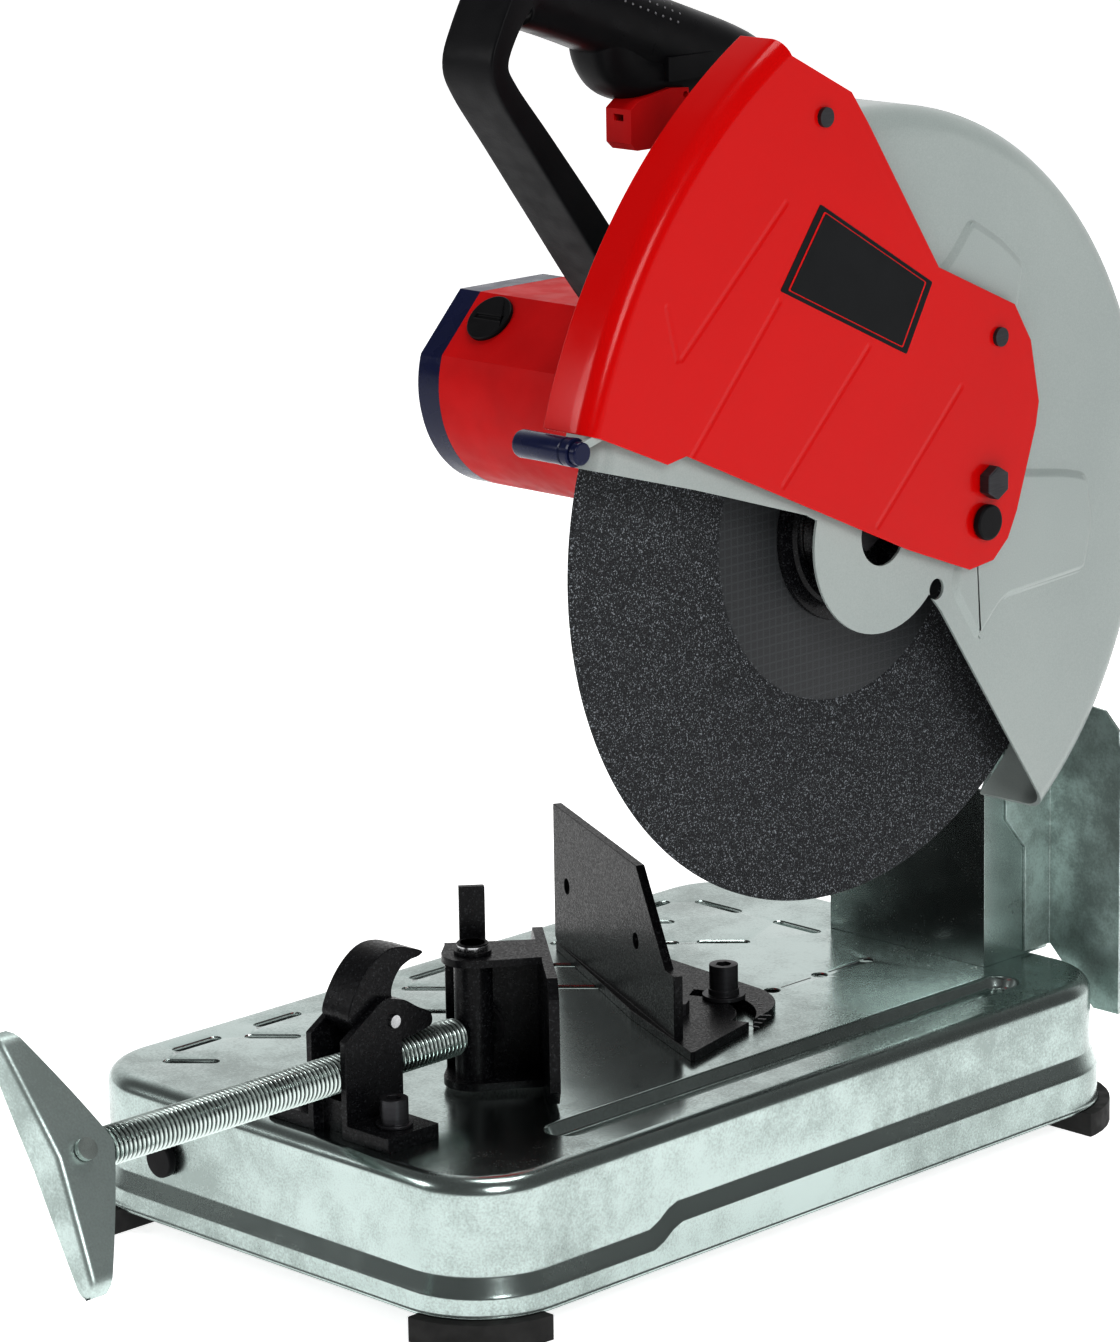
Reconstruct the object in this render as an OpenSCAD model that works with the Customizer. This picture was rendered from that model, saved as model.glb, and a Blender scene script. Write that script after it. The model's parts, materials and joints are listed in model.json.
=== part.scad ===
// Abrasive chop saw: pressed base, vise, fence, pivoting head, motor, gears, guard, hood and disc.
// Frame: origin on the floor under the middle of the base, +X to the operator's right,
// -Y towards the operator, +Z up. The head stands at its raised stop.

/* [Base] */
// Width of the base skirt
base_w = 284; // [280:1:300]
// Length of the base skirt
base_l = 454; // [450:1:470]
// Height of the pressed sheet above the feet
pan_h = 63; // [60:1:66]
// Height of the rubber feet
foot_h = 12; // [10:1:14]
// Corner radius of the base in plan
pan_r = 44; // [40:1:48]
// Thickness of the base sheet
pan_t = 2; // [1.5:0.1:2.5]

/* [Disc and spindle] */
// Diameter of the cutting disc
disc_d = 355; // [350:1:356]
// Thickness of the cutting disc
disc_t = 3; // [2.5:0.1:3.5]
// Bore of the cutting disc
disc_bore = 25.4; // [25.4, 30]
// Sideways place of the disc plane
disc_x = 100.5; // [99:0.5:103]
// Distance of the spindle behind the middle of the base
spin_y = 54; // [50:1:58]
// Height of the spindle above the floor
spin_z = 322.5; // [320:0.5:326]

/* [Gears] */
// Gear module
gear_m = 1.75; // [1.75]
// Teeth on the motor pinion
pinion_n = 10; // [10]
// Teeth on the spindle gear
wheel_n = 54; // [54]
// Face width of the spindle gear
gear_w = 14; // [12:1:16]

/* [Motor] */
// Radius of the motor housing
motor_r = 54; // [53:1:55]
// Left end of the motor
motor_x0 = -105; // [-106:1:-104]
// Length of the end cap
cap_len = 17; // [15:1:18]

/* [Head pivot] */
// Distance of the pivot behind the middle of the base
pivot_y = 204; // [202:1:206]
// Height of the pivot
pivot_z = 182; // [180:1:184]
// Diameter of the pivot shaft
pivot_d = 14; // [12:1:15]

/* [Guard and hood] */
// Outer radius of the guard drum
guard_r = 197; // [195:1:199]
// Outer face of the guard beyond the disc plane
guard_out = 28; // [27:0.5:28.5]
// Outer face of the hood beyond the disc plane
hood_out = 35; // [35:0.5:36]
// Sheet thickness of guard and hood
shell_t = 1.5; // [1.2:0.1:1.8]
// Radius of the hood wall about the hood hinge
hood_r = 274.5; // [273:0.5:276]

/* [Vise and fence] */
// Sideways place of the vise screw and of the row of fence holes
vise_x = 30; // [29:0.5:31]
// Height of the vise screw above the base
screw_h = 27.5; // [27:0.5:28]
// Diameter of the vise screw
screw_d = 18; // [17:0.5:18]
// Pitch of the fence holes
hole_step = 34.5; // [34:0.5:35]
// First fence hole behind the middle of the base
hole_y0 = 13.7; // [13:0.1:14.5]
// Angle of the fence from square
fence_turn = -26; // [-30:1:-20]
// Angle of the jaw from square
jaw_turn = -40; // [-42:1:-38]

/* [Hidden] */
$fn = 48;
eps = 0.01;
nut_af = 13;
nut_h = 6.5;
m8_hole = 8.5;
run_gap = 0.05;                      // radial clearance of a running fit

top_z = foot_h + pan_h;
step_in = 3.7;                       // how far the wall stands inside the skirt
skirt_h = 11;                        // skirt in front
rear_skirt_h = 20;                   // skirt behind the jog in the sides
jog_y = -106;
step_h = 7;
edge_r = 8;
foot_in = 24;                        // foot bolt from the skirt, both ways
bench_d = 9;
groove_x = [94, 112];                // clearance groove under the disc
groove_y = [-142, 176];
groove_deep = 6;

spin = [spin_y, spin_z];
gear_gap = gear_m * (pinion_n + wheel_n) / 2;
motor_dir = 112.5;                   // direction from spindle to motor axis
motor = spin + gear_gap * [cos(motor_dir), sin(motor_dir)];
pivot = [pivot_y, pivot_z];
gear_x = 44;                         // left face of the spindle gear
case_x = [24, 66];                   // gear case, left and right faces
cover_t = 6;
back_x = 80;                         // guard back plate
hood_x = disc_x + hood_out;
face_x = disc_x + guard_out;
hinge = [117.3, 318.9];              // hood hinge
bracket_x = [-20.5, 82];
bracket_y = [181, 229];
bracket_t = 3;
screw_z = top_z + screw_h;
post_y = -119.5;                     // jaw post
screw_y0 = -352;                     // front end of the vise screw
grip_x = 35.5;                       // middle plane of the handle
grip_w = 33;

// Upright outline drawn in Y and Z, thickened along +X from x
module side(x, t) translate([x, 0, 0]) rotate([90, 0, 90]) linear_extrude(t) children();
// Round bar along +X
module bar_x(x, yz, d, len) translate([x, yz[0], yz[1]]) rotate([0, 90, 0]) cylinder(h = len, d = d);
// Round bar along +Y
module bar_y(x, y, z, d, len) translate([x, y, z]) rotate([-90, 0, 0]) cylinder(h = len, d = d);
// Flat ring along +X
module ring_x(x, yz, d, bore, len) difference() {
    bar_x(x, yz, d, len);
    bar_x(x - 1, yz, bore, len + 2);
}
// Hexagon along +X
module hex_x(x, yz, af, len)
    translate([x, yz[0], yz[1]]) rotate([0, 90, 0]) cylinder(h = len, d = af / cos(30), $fn = 6);
// Rounded rectangle in plan
module round_rect(w, l, r) hull()
    for (x = [-1, 1], y = [-1, 1]) translate([x * (w / 2 - r), y * (l / 2 - r)]) circle(r, $fn = 40);
// Upright screw with a socket head, its seat at z
module socket_screw(x, y, z, d, head_d, head_h, len) translate([x, y, z]) difference() {
    union() {
        cylinder(h = head_h, d = head_d);
        translate([0, 0, -len]) cylinder(h = len + eps, d = d);
    }
    translate([0, 0, head_h - d * 0.5]) cylinder(h = d, d = d * 0.8 / cos(30), $fn = 6);
}
// Hexagon along +Z, given across its flats
module hex_z(x, y, z, af, len)
    translate([x, y, z]) cylinder(h = len, d = af / cos(30), $fn = 6);
// Nut under the base sheet
module under_nut(x, y) hex_z(x, y, top_z - pan_t - nut_h, nut_af, nut_h);
// Hole through the base sheet
module sheet_hole(x, y, d) translate([x, y, top_z - pan_t - 2]) cylinder(h = pan_t + 4, d = d);
// Flat washer in plan
module washer(x, y, z, d, bore, t) translate([x, y, z]) difference() {
    cylinder(h = t, d = d);
    translate([0, 0, -1]) cylinder(h = t + 2, d = bore);
}
// Close coil about an axis along +X, its turns just touching
module coil_x(x, yz, d, wire, turns) translate([x, yz[0], yz[1]]) rotate([0, 90, 0])
    rotate_extrude() for (i = [0 : turns - 1])
        translate([d / 2 - wire / 2, wire / 2 + i * wire * 0.92]) circle(d = wire, $fn = 24);

// ---------------------------------------------------------------- base
// Section of the sheet from a corner centre outwards, drawn smaller by "in"
module pan_section(in) {
    wall = pan_r - step_in - in;
    square([pan_r - in, skirt_h]);
    square([wall, pan_h - in - edge_r]);
    square([wall - edge_r, pan_h - in]);
    translate([wall - edge_r, pan_h - in - edge_r]) circle(edge_r);
    translate([wall - 1, skirt_h - 1])
        polygon([[0, 0], [step_in + 1, 0], [step_in + 1, 1], [1, step_h + 1], [0, step_h + 1]]);
}
// Section of the band that lifts the skirt behind the jog
module band_section(in) {
    wall = pan_r - step_in - in;
    polygon([[wall - 1, skirt_h - 2], [pan_r - in, skirt_h - 2], [pan_r - in, rear_skirt_h],
        [wall, rear_skirt_h + step_h], [wall - 1, rear_skirt_h + step_h]]);
}
// Sweeps a section round the four corners and sides
module around_pan() for (i = [0 : 3]) rotate([0, 0, i * 90]) {
    long = (i % 2 == 0 ? base_l : base_w) - 2 * pan_r;
    far = (i % 2 == 0 ? base_w : base_l) - 2 * pan_r;
    translate([far / 2, long / 2, 0]) rotate_extrude() intersection() {
        children();
        square(2 * pan_r);
    }
    translate([far / 2, long / 2, 0]) rotate([90, 0, 0]) linear_extrude(long) children();
}
module pan_solid(in) {
    w = base_w - 2 * pan_r + 2;
    l = base_l - 2 * pan_r + 2;
    around_pan() pan_section(in);
    intersection() {
        around_pan() band_section(in);
        translate([-base_w, jog_y + in, 0]) cube([2 * base_w, base_l, pan_h]);
    }
    translate([-w / 2, -l / 2, 0]) cube([w, l, pan_h - in]);
}
// Narrow slot through the top sheet from a, running at an angle
slot_w = 6.5;
module top_slot(a, turn, len) translate([a[0], a[1], top_z - pan_t - 2]) rotate([0, 0, turn]) {
    translate([0, -slot_w / 2, 0]) cube([len, slot_w, pan_t + 4]);
    for (x = [0, len]) translate([x, 0, 0]) cylinder(h = pan_t + 4, d = slot_w, $fn = 24);
}
slot_step = 51.6;
slot_angle = 42;
module drain_slots() for (i = [0 : 6]) {
    y = -190 + i * slot_step;
    top_slot([-105, y], slot_angle, 21);
    if (i != 0 && i != 6) top_slot([-79, y + 25], slot_angle, 23);
    if (i > 0) top_slot([-52, y], slot_angle, 21);
    top_slot([-115.5, y + 15], 90, 23);
}
module drain_slots_rear() for (i = [0 : 1]) top_slot([-102 + i * 55, 171], 0, 25);
module foot_spots() for (x = [-1, 1], y = [-1, 1])
    translate([x * (base_w / 2 - foot_in), y * (base_l / 2 - foot_in)]) children();
module base_pan() color("silver") difference() {
    union() {
        translate([0, 0, foot_h]) difference() {
            pan_solid(0);
            translate([0, 0, -eps]) pan_solid(pan_t);
        }
        translate([groove_x[0] - pan_t, groove_y[0] - pan_t, top_z - groove_deep - pan_t])
            cube([groove_x[1] - groove_x[0] + 2 * pan_t, groove_y[1] - groove_y[0] + 2 * pan_t,
                groove_deep + pan_t - 0.5]);
        translate([0, 0, foot_h]) intersection() {
            linear_extrude(pan_t + 1) round_rect(base_w - 2, base_l - 2, pan_r - 1);
            linear_extrude(pan_t + 1) foot_spots() square(52, center = true);
        }
    }
    translate([groove_x[0], groove_y[0], top_z - groove_deep])
        cube([groove_x[1] - groove_x[0], groove_y[1] - groove_y[0], groove_deep + 1]);
    drain_slots();
    drain_slots_rear();
    for (i = [0 : 4]) sheet_hole(vise_x, hole_y0 + i * hole_step, m8_hole);
    translate([105, 145, top_z - 14]) cylinder(h = 20, d = 6);
    for (x = bolt_x) sheet_hole(x, bolt_y, m8_hole);
    for (x = nut_bolt_x) sheet_hole(x, nut_bolt_y, 8);
    foot_spots() translate([0, 0, foot_h - 1]) cylinder(h = 8, d = bench_d);
    translate([plug_x, -base_l / 2 + step_in - 3, plug_z]) rotate([-90, 0, 0])
        cylinder(h = 12, d = plug_d - 3);
}
foot_out = 5;
foot_w = 46;
module base_feet() color("#151515") for (x = [-1, 1], y = [-1, 1]) difference() {
    linear_extrude(foot_h) intersection() {
        round_rect(base_w + 2 * foot_out, base_l + 2 * foot_out, pan_r + foot_out);
        translate([x * (base_w / 2 + foot_out - foot_w / 2), y * (base_l / 2 + foot_out - foot_w / 2)])
            square(foot_w, center = true);
    }
    translate([x * (base_w / 2 - foot_in), y * (base_l / 2 - foot_in), -1])
        cylinder(h = foot_h + 2, d = bench_d);
}
plug_x = -71.5;
plug_z = 43;
plug_d = 17;
module base_plug() color("#101010") {
    bar_y(plug_x, -base_l / 2 + step_in - 4, plug_z, plug_d, 4);
    bar_y(plug_x, -base_l / 2 + step_in - eps, plug_z, plug_d - 3, 8);
}

// ---------------------------------------------------------------- head pivot
ear_r = 15;
shoulder_z = 165;                    // top of the bracket's front wall
module ear_outline() {
    polygon([[bracket_y[0], top_z], [bracket_y[1], top_z], [bracket_y[1], shoulder_z],
        [pivot_y + ear_r, pivot_z - 4], [pivot_y - ear_r, pivot_z - 4], [bracket_y[0], shoulder_z]]);
    translate(pivot) circle(ear_r);
}
module pivot_bracket() color("silver") difference() {
    union() {
        for (x = [bracket_x[0], bracket_x[1] - bracket_t]) side(x, bracket_t) ear_outline();
        translate([bracket_x[0], bracket_y[0], top_z])
            cube([bracket_x[1] - bracket_x[0], bracket_t, shoulder_z - top_z]);
        translate([bracket_x[0], bracket_y[0], top_z])
            cube([bracket_x[1] - bracket_x[0], 46, bracket_t]);
    }
    bar_x(bracket_x[0] - 1, pivot, pivot_d, bracket_x[1] - bracket_x[0] + 2);
    for (x = bolt_x) translate([x, bolt_y, top_z - 1]) cylinder(h = 6, d = m8_hole);
    bar_x(bracket_x[1] - 6, screw_spot, 4.2, 10);
}
bolt_x = [0, 61];
bolt_y = 205;
screw_spot = [207.5, 162];
module bracket_screws() color("#333") {
    for (x = bolt_x) {
        hex_z(x, bolt_y, top_z + bracket_t, nut_af, 6);
        translate([x, bolt_y, top_z - 12]) cylinder(h = 15 + eps, d = m8_hole);
        under_nut(x, bolt_y);
    }
    bar_x(bracket_x[1] - 9, screw_spot, 4.2, 18);
    ring_x(bracket_x[1] + guard_t, screw_spot, 9, 4.2, 2);
    bar_x(bracket_x[1] + guard_t + 2, screw_spot, 8, 3);
}
guard_t = 1.5;
module spark_guard() color("silver") difference() {
    union() {
        side(bracket_x[1], guard_t) polygon([[196, 148], [196, 169], [231, 166], [231, 77],
            [210.5, 77], [210.5, 131]]);
        translate([bracket_x[1], 229.5, 0]) rotate([90, 0, 0]) mirror([0, 0, 1])
            linear_extrude(guard_t) polygon([[0, 77], [0, 170], [12, 205], [36, 203], [45, 194],
                [46, 49], [30, 49], [2, 77]]);
        translate([bracket_x[1] + 44.5, 229.5, 49]) cube([guard_t, 22, 138]);
    }
    bar_x(bracket_x[1] - 1, screw_spot, 4.2, 6);
}
module pivot_shaft() color("#999")
    bar_x(bracket_x[0] - 7, pivot, pivot_d, bracket_x[1] - bracket_x[0] + 10);
module pivot_nuts() color("#777") {
    difference() {
        hex_x(bracket_x[0] - 7, pivot, 22, 7);
        bar_x(bracket_x[0] - 8, pivot, pivot_d, 9);
    }
    ring_x(bracket_x[1], pivot, pivot_d + 2.5, pivot_d, 2);
}
// Screw inside the bracket that the arm lands on at full depth
stop_x = 31;
stop_y = 191;
module depth_stop() color("#555") {
    translate([stop_x - 9, bracket_y[0] + bracket_t, 130]) cube([18, 15, 12]);
    translate([stop_x, stop_y, 118]) cylinder(h = 45.5, d = 8);
    hex_z(stop_x, stop_y, 142, 11, 6);
}
module return_spring() color("#888") {
    coil_x(-15.5, pivot, 34, 4, 4);
    translate([-13.4, pivot_y + 14.8, 90]) cylinder(h = pivot_z - 90, d = 3.4);
}

// ---------------------------------------------------------------- head casting
hub_x = [2, 76];
arm_x = [12, 50];
module arm_outline() {
    hull() {
        translate(pivot) circle(20);
        translate(spin + [28, -30]) circle(26);
    }
}
module case_outline(in) hull() {
    translate(spin) circle(58 - in, $fn = 64);
    translate(motor) circle(44 - in, $fn = 64);
}
module head_arm() color("#8f9694") difference() {
    union() {
        side(case_x[0], case_x[1] - case_x[0]) case_outline(0);
        side(arm_x[0], arm_x[1] - arm_x[0]) arm_outline();
        bar_x(hub_x[0], pivot, 36, hub_x[1] - hub_x[0]);
        side(case_x[0] - 4, 5) motor_outline(4);
    }
    difference() {
        side(case_x[0] + 5, case_x[1]) case_outline(6);
        bar_x(case_x[0] + 4, spin, 45, 9);
    }
    bar_x(hub_x[0] - 1, pivot, pivot_d + 2 * run_gap, hub_x[1] - hub_x[0] + 2);
    bar_x(case_x[0] + 2, spin, 35, 60);
    bar_x(case_x[0] - 10, motor, 30, 30);
    bar_x(lock_x, lock_yz, 8 + 2 * run_gap, 40);
}
module bearing_cover() color("#8f9694") difference() {
    union() {
        side(case_x[1], cover_t) case_outline(0);
        bar_x(case_x[1], spin, 60, 16);
        for (p = cover_bolts) bar_x(case_x[1], p, 16, back_x - case_x[1]);
    }
    bar_x(case_x[1] - 1, spin, 42, 13);
    bar_x(case_x[1] - 1, spin, 30, 20);
    bar_x(case_x[1] - 1, motor, 22, cover_t - 2);
    for (p = cover_bolts) bar_x(case_x[1] - 1, p, 6, 30);
}
cover_bolts = [for (a = [25, 90, 155]) spin + 46 * [cos(a), sin(a)]];
// Bearing for a shaft of the given diameter, which runs free in the inner race
module bearing(x, yz, d, shaft, w) {
    bore = shaft + 2 * run_gap;
    ring_x(x, yz, d, d - 6, w);
    ring_x(x, yz, shaft + 6, bore, w);
    rb = (d + shaft) / 4;
    for (i = [0 : 7]) translate([x + w / 2, yz[0] + rb * cos(i * 45), yz[1] + rb * sin(i * 45)])
        sphere(d = (d - shaft) / 2 - 6 + 0.4, $fn = 24);
}
module ball_bearings() color("#bbb") {
    bearing(case_x[0] + 2, spin, 35, 15, 11);
    bearing(case_x[1], spin, 42, 17, 12);
    bearing(case_x[0] - 2, motor, 30, 12, 9);
    bearing(motor_x0 + 6, motor, 26, 9, 8);
}

// ---------------------------------------------------------------- motor
// Section of the motor: round, with a facet for the brush caps and a flat top for the handle
facet_dir = 136;
facet_off = 48.5;
top_off = 44;
module motor_outline(in) intersection() {
    translate(motor) circle(motor_r - in, $fn = 96);
    translate(motor) rotate(facet_dir) translate([-150, -100]) square([150 + facet_off - in, 200]);
    translate([motor[0] - 100, motor[1] - 100]) square([200, 100 + top_off - in]);
}
brush_x = -71;
screw_places = [for (a = [200, 250, 320]) motor + (motor_r - 8) * [cos(a), sin(a)]];
module motor_housing() color("#b01010") difference() {
    union() {
        difference() {
            side(motor_x0 + cap_len, case_x[0] - 4 - motor_x0 - cap_len) motor_outline(0);
            side(motor_x0 + cap_len - 1, case_x[0] - motor_x0) motor_outline(4);
        }
        for (p = screw_places) bar_x(motor_x0 + cap_len, p, 10, 26);
    }
    brush_holes(25.2, 10);
    for (p = screw_places) bar_x(motor_x0 + cap_len - 1, p, 4, 30);
}
// Things placed on the brush axis, measured outwards from the facet
module brush_axis(side_dir) translate([brush_x, motor[0], motor[1]]) rotate([side_dir, 0, 0])
    rotate([-90, 0, 0]) children();
module brush_holes(d, deep) brush_axis(facet_dir)
    translate([0, 0, facet_off - deep + 2]) cylinder(h = deep, d = d);
module motor_end_cap() color("#1c2236") difference() {
    union() {
        side(motor_x0 + 3, cap_len - 3) motor_outline(0);
        side(motor_x0, 3 + eps) motor_outline(2.5);
    }
    side(motor_x0 + 5, cap_len) motor_outline(4);
    bar_x(motor_x0 + 5, motor, 26, 1.2);
    for (p = screw_places) bar_x(motor_x0 - 1, p, 4, 10);
    for (i = [-3 : 3]) translate([motor_x0 - 1, motor[0] - 26, motor[1] + i * 10 - 2])
        if (abs(i) > 1) cube([8, 52, 4]);
}
module brush_caps() color("#101010") brush_axis(facet_dir) difference() {
    translate([0, 0, facet_off - 7]) cylinder(h = 9, d = 25);
    translate([-9, -1.2, facet_off + 0.8]) cube([18, 2.4, 3]);
}
module brushes() color("#333") brush_axis(facet_dir)
    translate([-4, -3, 17.5]) cube([8, 6, facet_off - 7 - 17.5]);
module stator() color("#666") difference() {
    bar_x(-56, motor, 2 * (motor_r - 14.2), 52);
    bar_x(-57, motor, 48, 54);
}
module housing_screws() color("#444") for (p = screw_places) {
    bar_x(motor_x0 - 2, p, 7, 2);
    bar_x(motor_x0 - eps, p, 4, cap_len + 20);
}
module armature() color("#a05a2c") {
    bar_x(motor_x0 + 5.5, motor, 9, 12);
    bar_x(motor_x0 + 16, motor, 12, case_x[0] + 7 - motor_x0 - 16);
    bar_x(case_x[0] + 7 - eps, motor, 8, gear_x + gear_w + 2 - case_x[0] - 7);
    bar_x(-54, motor, 46, 48);
    bar_x(brush_x - 12, motor, 34, 20);
}
module fan() color("#222") difference() {
    union() {
        ring_x(0, motor, 30, 12, 12);
        ring_x(0, motor, 77, 12, 2);
        for (i = [0 : 11]) translate([1, motor[0], motor[1]]) rotate([i * 30, 0, 0])
            translate([0, 14, -1]) cube([10, 24, 2]);
    }
    bar_x(-1, motor, 12, 14);
}
// Spur gear along +X with n teeth
module gear(x, yz, n, w, bore, phase) side(x, w) translate(yz) rotate(phase) difference() {
    union() {
        circle(gear_m * n / 2 - 1.25 * gear_m, $fn = 96);
        for (i = [0 : n - 1]) rotate(i * 360 / n) tooth(n);
    }
    circle(d = bore);
}
module tooth(n) {
    r = gear_m * n / 2;
    half = gear_m * PI / 4 - 0.17;       // leaves backlash
    polygon([[r - 1.45 * gear_m, -half * 1.35], [r, -half], [r + gear_m, -half * 0.45],
        [r + gear_m, half * 0.45], [r, half], [r - 1.45 * gear_m, half * 1.35]]);
}
module spindle_gear() color("#aaa") gear(gear_x, spin, wheel_n, gear_w, 18, motor_dir);
module motor_pinion() color("#aaa") gear(gear_x - 1, motor, pinion_n, gear_w + 2, 8,
    motor_dir + 180 + 180 / pinion_n);

// ---------------------------------------------------------------- spindle and disc
disc_left = disc_x - disc_t / 2;
disc_right = disc_x + disc_t / 2;
flange_in = 9;
flange_out = 7;
module spindle() color("#999") difference() {
    union() {
        bar_x(case_x[0] + 2.5, spin, 15, gear_x - case_x[0] - 2.5);
        bar_x(gear_x, spin, 18, gear_w);
        bar_x(gear_x + gear_w - eps, spin, 17, disc_left - flange_in - gear_x - gear_w);
        bar_x(disc_left - flange_in - eps, spin, 16, flange_in + disc_t + flange_out);
    }
    bar_x(disc_right - 20, spin, 10, 40);
}
module inner_flange() color("#333") difference() {
    union() {
        bar_x(disc_left - flange_in, spin, 60, flange_in - 4);
        bar_x(disc_left - 4, spin, 88, 4);
        bar_x(disc_left - eps, spin, disc_bore - 0.1, disc_t - 0.2);
    }
    bar_x(disc_left - 20, spin, 16, 30);
}
module outer_flange() color("#1a1a1a") difference() {
    union() {
        bar_x(disc_right, spin, 88, 3.5);
        bar_x(disc_right, spin, 72, 5.5);
        bar_x(disc_right, spin, 36, flange_out);
    }
    bar_x(disc_right - 1, spin, 16, 20);
    ring_x(disc_right + 4, spin, 64, 42, 2);
}
module arbor_bolt() color("#555") {
    ring_x(disc_right + flange_out, spin, 28, 10, 2.5);
    hex_x(disc_right + flange_out + 2.5, spin, 17, 7);
    bar_x(disc_right - 16, spin, 10, 20);
}
module cutting_disc() color("#2c2e30") ring_x(disc_left, spin, disc_d, disc_bore, disc_t);
lock_x = 0;
lock_yz = spin + [40, 0];
module lock_button() color("#b01010") {
    bar_x(lock_x, lock_yz, 16, 8);
    bar_x(lock_x + 8 - eps, lock_yz, 8, 32);
}
module lock_spring() color("#aaa") coil_x(lock_x + 15, lock_yz, 11.5, 1.2, 7);

// ---------------------------------------------------------------- guard and hood
low_edge = [[-52, 17], [-124, 40], [-262, 80], [-262, 262], [262, 262], [262, -262], [193, -262],
    [41, -44], [20, -20]];
lobe_r = 47;                         // lobe of the guard over the spindle
module guard_mask() translate(spin) {
    polygon(low_edge);
    circle(lobe_r, $fn = 64);
}
corner_r = 12;
module drum_profile(in) {
    r = guard_r - in;
    x = face_x - in;
    translate([0, back_x - 1]) square([r - corner_r, x - back_x + 1]);
    translate([0, back_x - 1]) square([r, x - corner_r - back_x + 1]);
    translate([r - corner_r, x - corner_r]) circle(corner_r, $fn = 48);
}
// Solid of revolution about the spindle axis
module drum(in) translate([0, spin[0], spin[1]]) rotate([0, 90, 0])
    rotate_extrude($fn = 96) drum_profile(in);
pad_a = [[30, 60], [30, 112], [47, 121.6], [60.8, 137.7], [80, 126], [96.8, 113], [92.6, 95.5], [92, 60]];
pad_b = [[60, 20], [127.2, 8.7], [144.4, 5], [149, -18], [142.8, -41.5], [87, -43.7], [68, -62], [50, -35]];
module guard_shell() color("#9aa3a1") difference() {
    union() {
        intersection() {
            difference() {
                drum(0);
                drum(shell_t);
            }
            side(back_x, 60) guard_mask();
        }
        side(face_x - eps, 1.2) translate(spin) {
            polygon(pad_a);
            polygon(pad_b);
        }
    }
    translate([back_x - 2, spin_y - 260, spin_z - 100]) cube([disc_x + 6 - back_x + 2, 155, 400]);
    translate([back_x - 2, tip_clear[0], 100]) cube([8, 200, tip_clear[1] - 100]);
    bar_x(face_x - 5, spin, 30, 12);
    bar_x(face_x - 5, spin + [37.5, -32.7], 10, 12);
    bar_x(face_x - 5, hinge, 8, 12);
}
// Behind and below this the guard stays outside the head bracket
tip_clear = [140, 236];
module guard_back() color("#9aa3a1") difference() {
    union() {
        intersection() {
            side(back_x, 2) translate(spin) polygon(low_edge);
            bar_x(back_x - 1, spin, 2 * (guard_r - shell_t), 4);
            translate([back_x - 1, spin_y - 100, 100]) cube([4, 400, 500]);
        }
        bar_x(back_x, spin, 2 * lobe_r, 2);
    }
    bar_x(back_x - 1, spin, 64, 6);
    for (p = cover_bolts) bar_x(back_x - 1, p, 6, 6);
    translate([back_x - 1, tip_clear[0], 100]) cube([4, 200, tip_clear[1] - 100]);
}
module guard_bolts() color("#333") for (p = cover_bolts) {
    bar_x(case_x[1] + 1, p, 6, back_x - case_x[1] + 1);
    hex_x(back_x + 2, p, 10, 4);
}
hood_edge = [[25.6, 530.3], [36.7, 515.2], [85, 443.6], [139, 419.3], [150.8, 400.6],
    [156.9, 370.6], [154.8, 359.4], [141.2, 320.5], [134.8, 308.1], [124.3, 299.2],
    [107.4, 297.3], [63.9, 314.1], [-83.4, 380.9], [-95.5, 378.9]];
wall_from = 119.5;
wall_to = 163;
function hood_curve(r) = [for (i = [0 : 10]) hinge
    + r * [cos(wall_to + (wall_from - wall_to) * i / 10), sin(wall_to + (wall_from - wall_to) * i / 10)]];
function backwards(list) = [for (i = [len(list) - 1 : -1 : 0]) list[i]];
wall_deep = 27.5;
module hood() color("#c40000") difference() {
    union() {
        side(hood_x - shell_t, shell_t) polygon(concat(hood_curve(hood_r), hood_edge));
        side(hood_x - wall_deep, wall_deep)
            polygon(concat(hood_curve(hood_r), backwards(hood_curve(hood_r - shell_t))));
    }
    bar_x(hood_x - 5, hinge, 8.1, 10);
    bar_x(hood_x - 5, bolt_spot, 8, 10);
    for (p = hood_screw_spots) bar_x(hood_x - 5, p, 5, 10);
}
bolt_spot = [120.8, 337.5];
hood_screw_spots = [[7, 521], [127.6, 405.4]];
module hood_pivot() color("#111") {
    bar_x(face_x - shell_t - 3, hinge, 8, hood_x - face_x + shell_t + 3 + 1);
    bar_x(hood_x + 0.3, hinge, 17, 4);
    bar_x(face_x - shell_t - 3, hinge, 14, 3);
}
module hood_bolt() color("#16161e") {
    hex_x(hood_x, bolt_spot, 14, 6);
    bar_x(hood_x - 4, bolt_spot, 8, 4 + eps);
    ring_x(hood_x - 4, bolt_spot, 18, 8, 4 - shell_t);
}
module hood_screws() color("#222") for (p = hood_screw_spots) {
    bar_x(hood_x, p, 9, 2);
    bar_x(hood_x - 4, p, 5, 4 + eps);
    ring_x(hood_x - 4, p, 9, 5, 4 - shell_t);
}
module label_plate() color("#141414") side(hood_x, 0.6)
    polygon([[4.1, 482.3], [80.1, 437.3], [62.1, 406.3], [-22.6, 446.5]]);
knob = [-147, 391.5];
knob_x = [96, 130];
module knob_tab() color("#9aa3a1") difference() {
    union() {
        side(hood_x - shell_t - 2, 2) hull() {
            translate(knob) circle(5.5);
            translate([-118, 399]) circle(6);
        }
        bar_x(knob_x[0] - 1.5, knob, 6, hood_x - shell_t - knob_x[0] + 1);
    }
}
module lift_knob() color("#14141c") ring_x(knob_x[0], knob, 13, 6, knob_x[1] - knob_x[0]);

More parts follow.
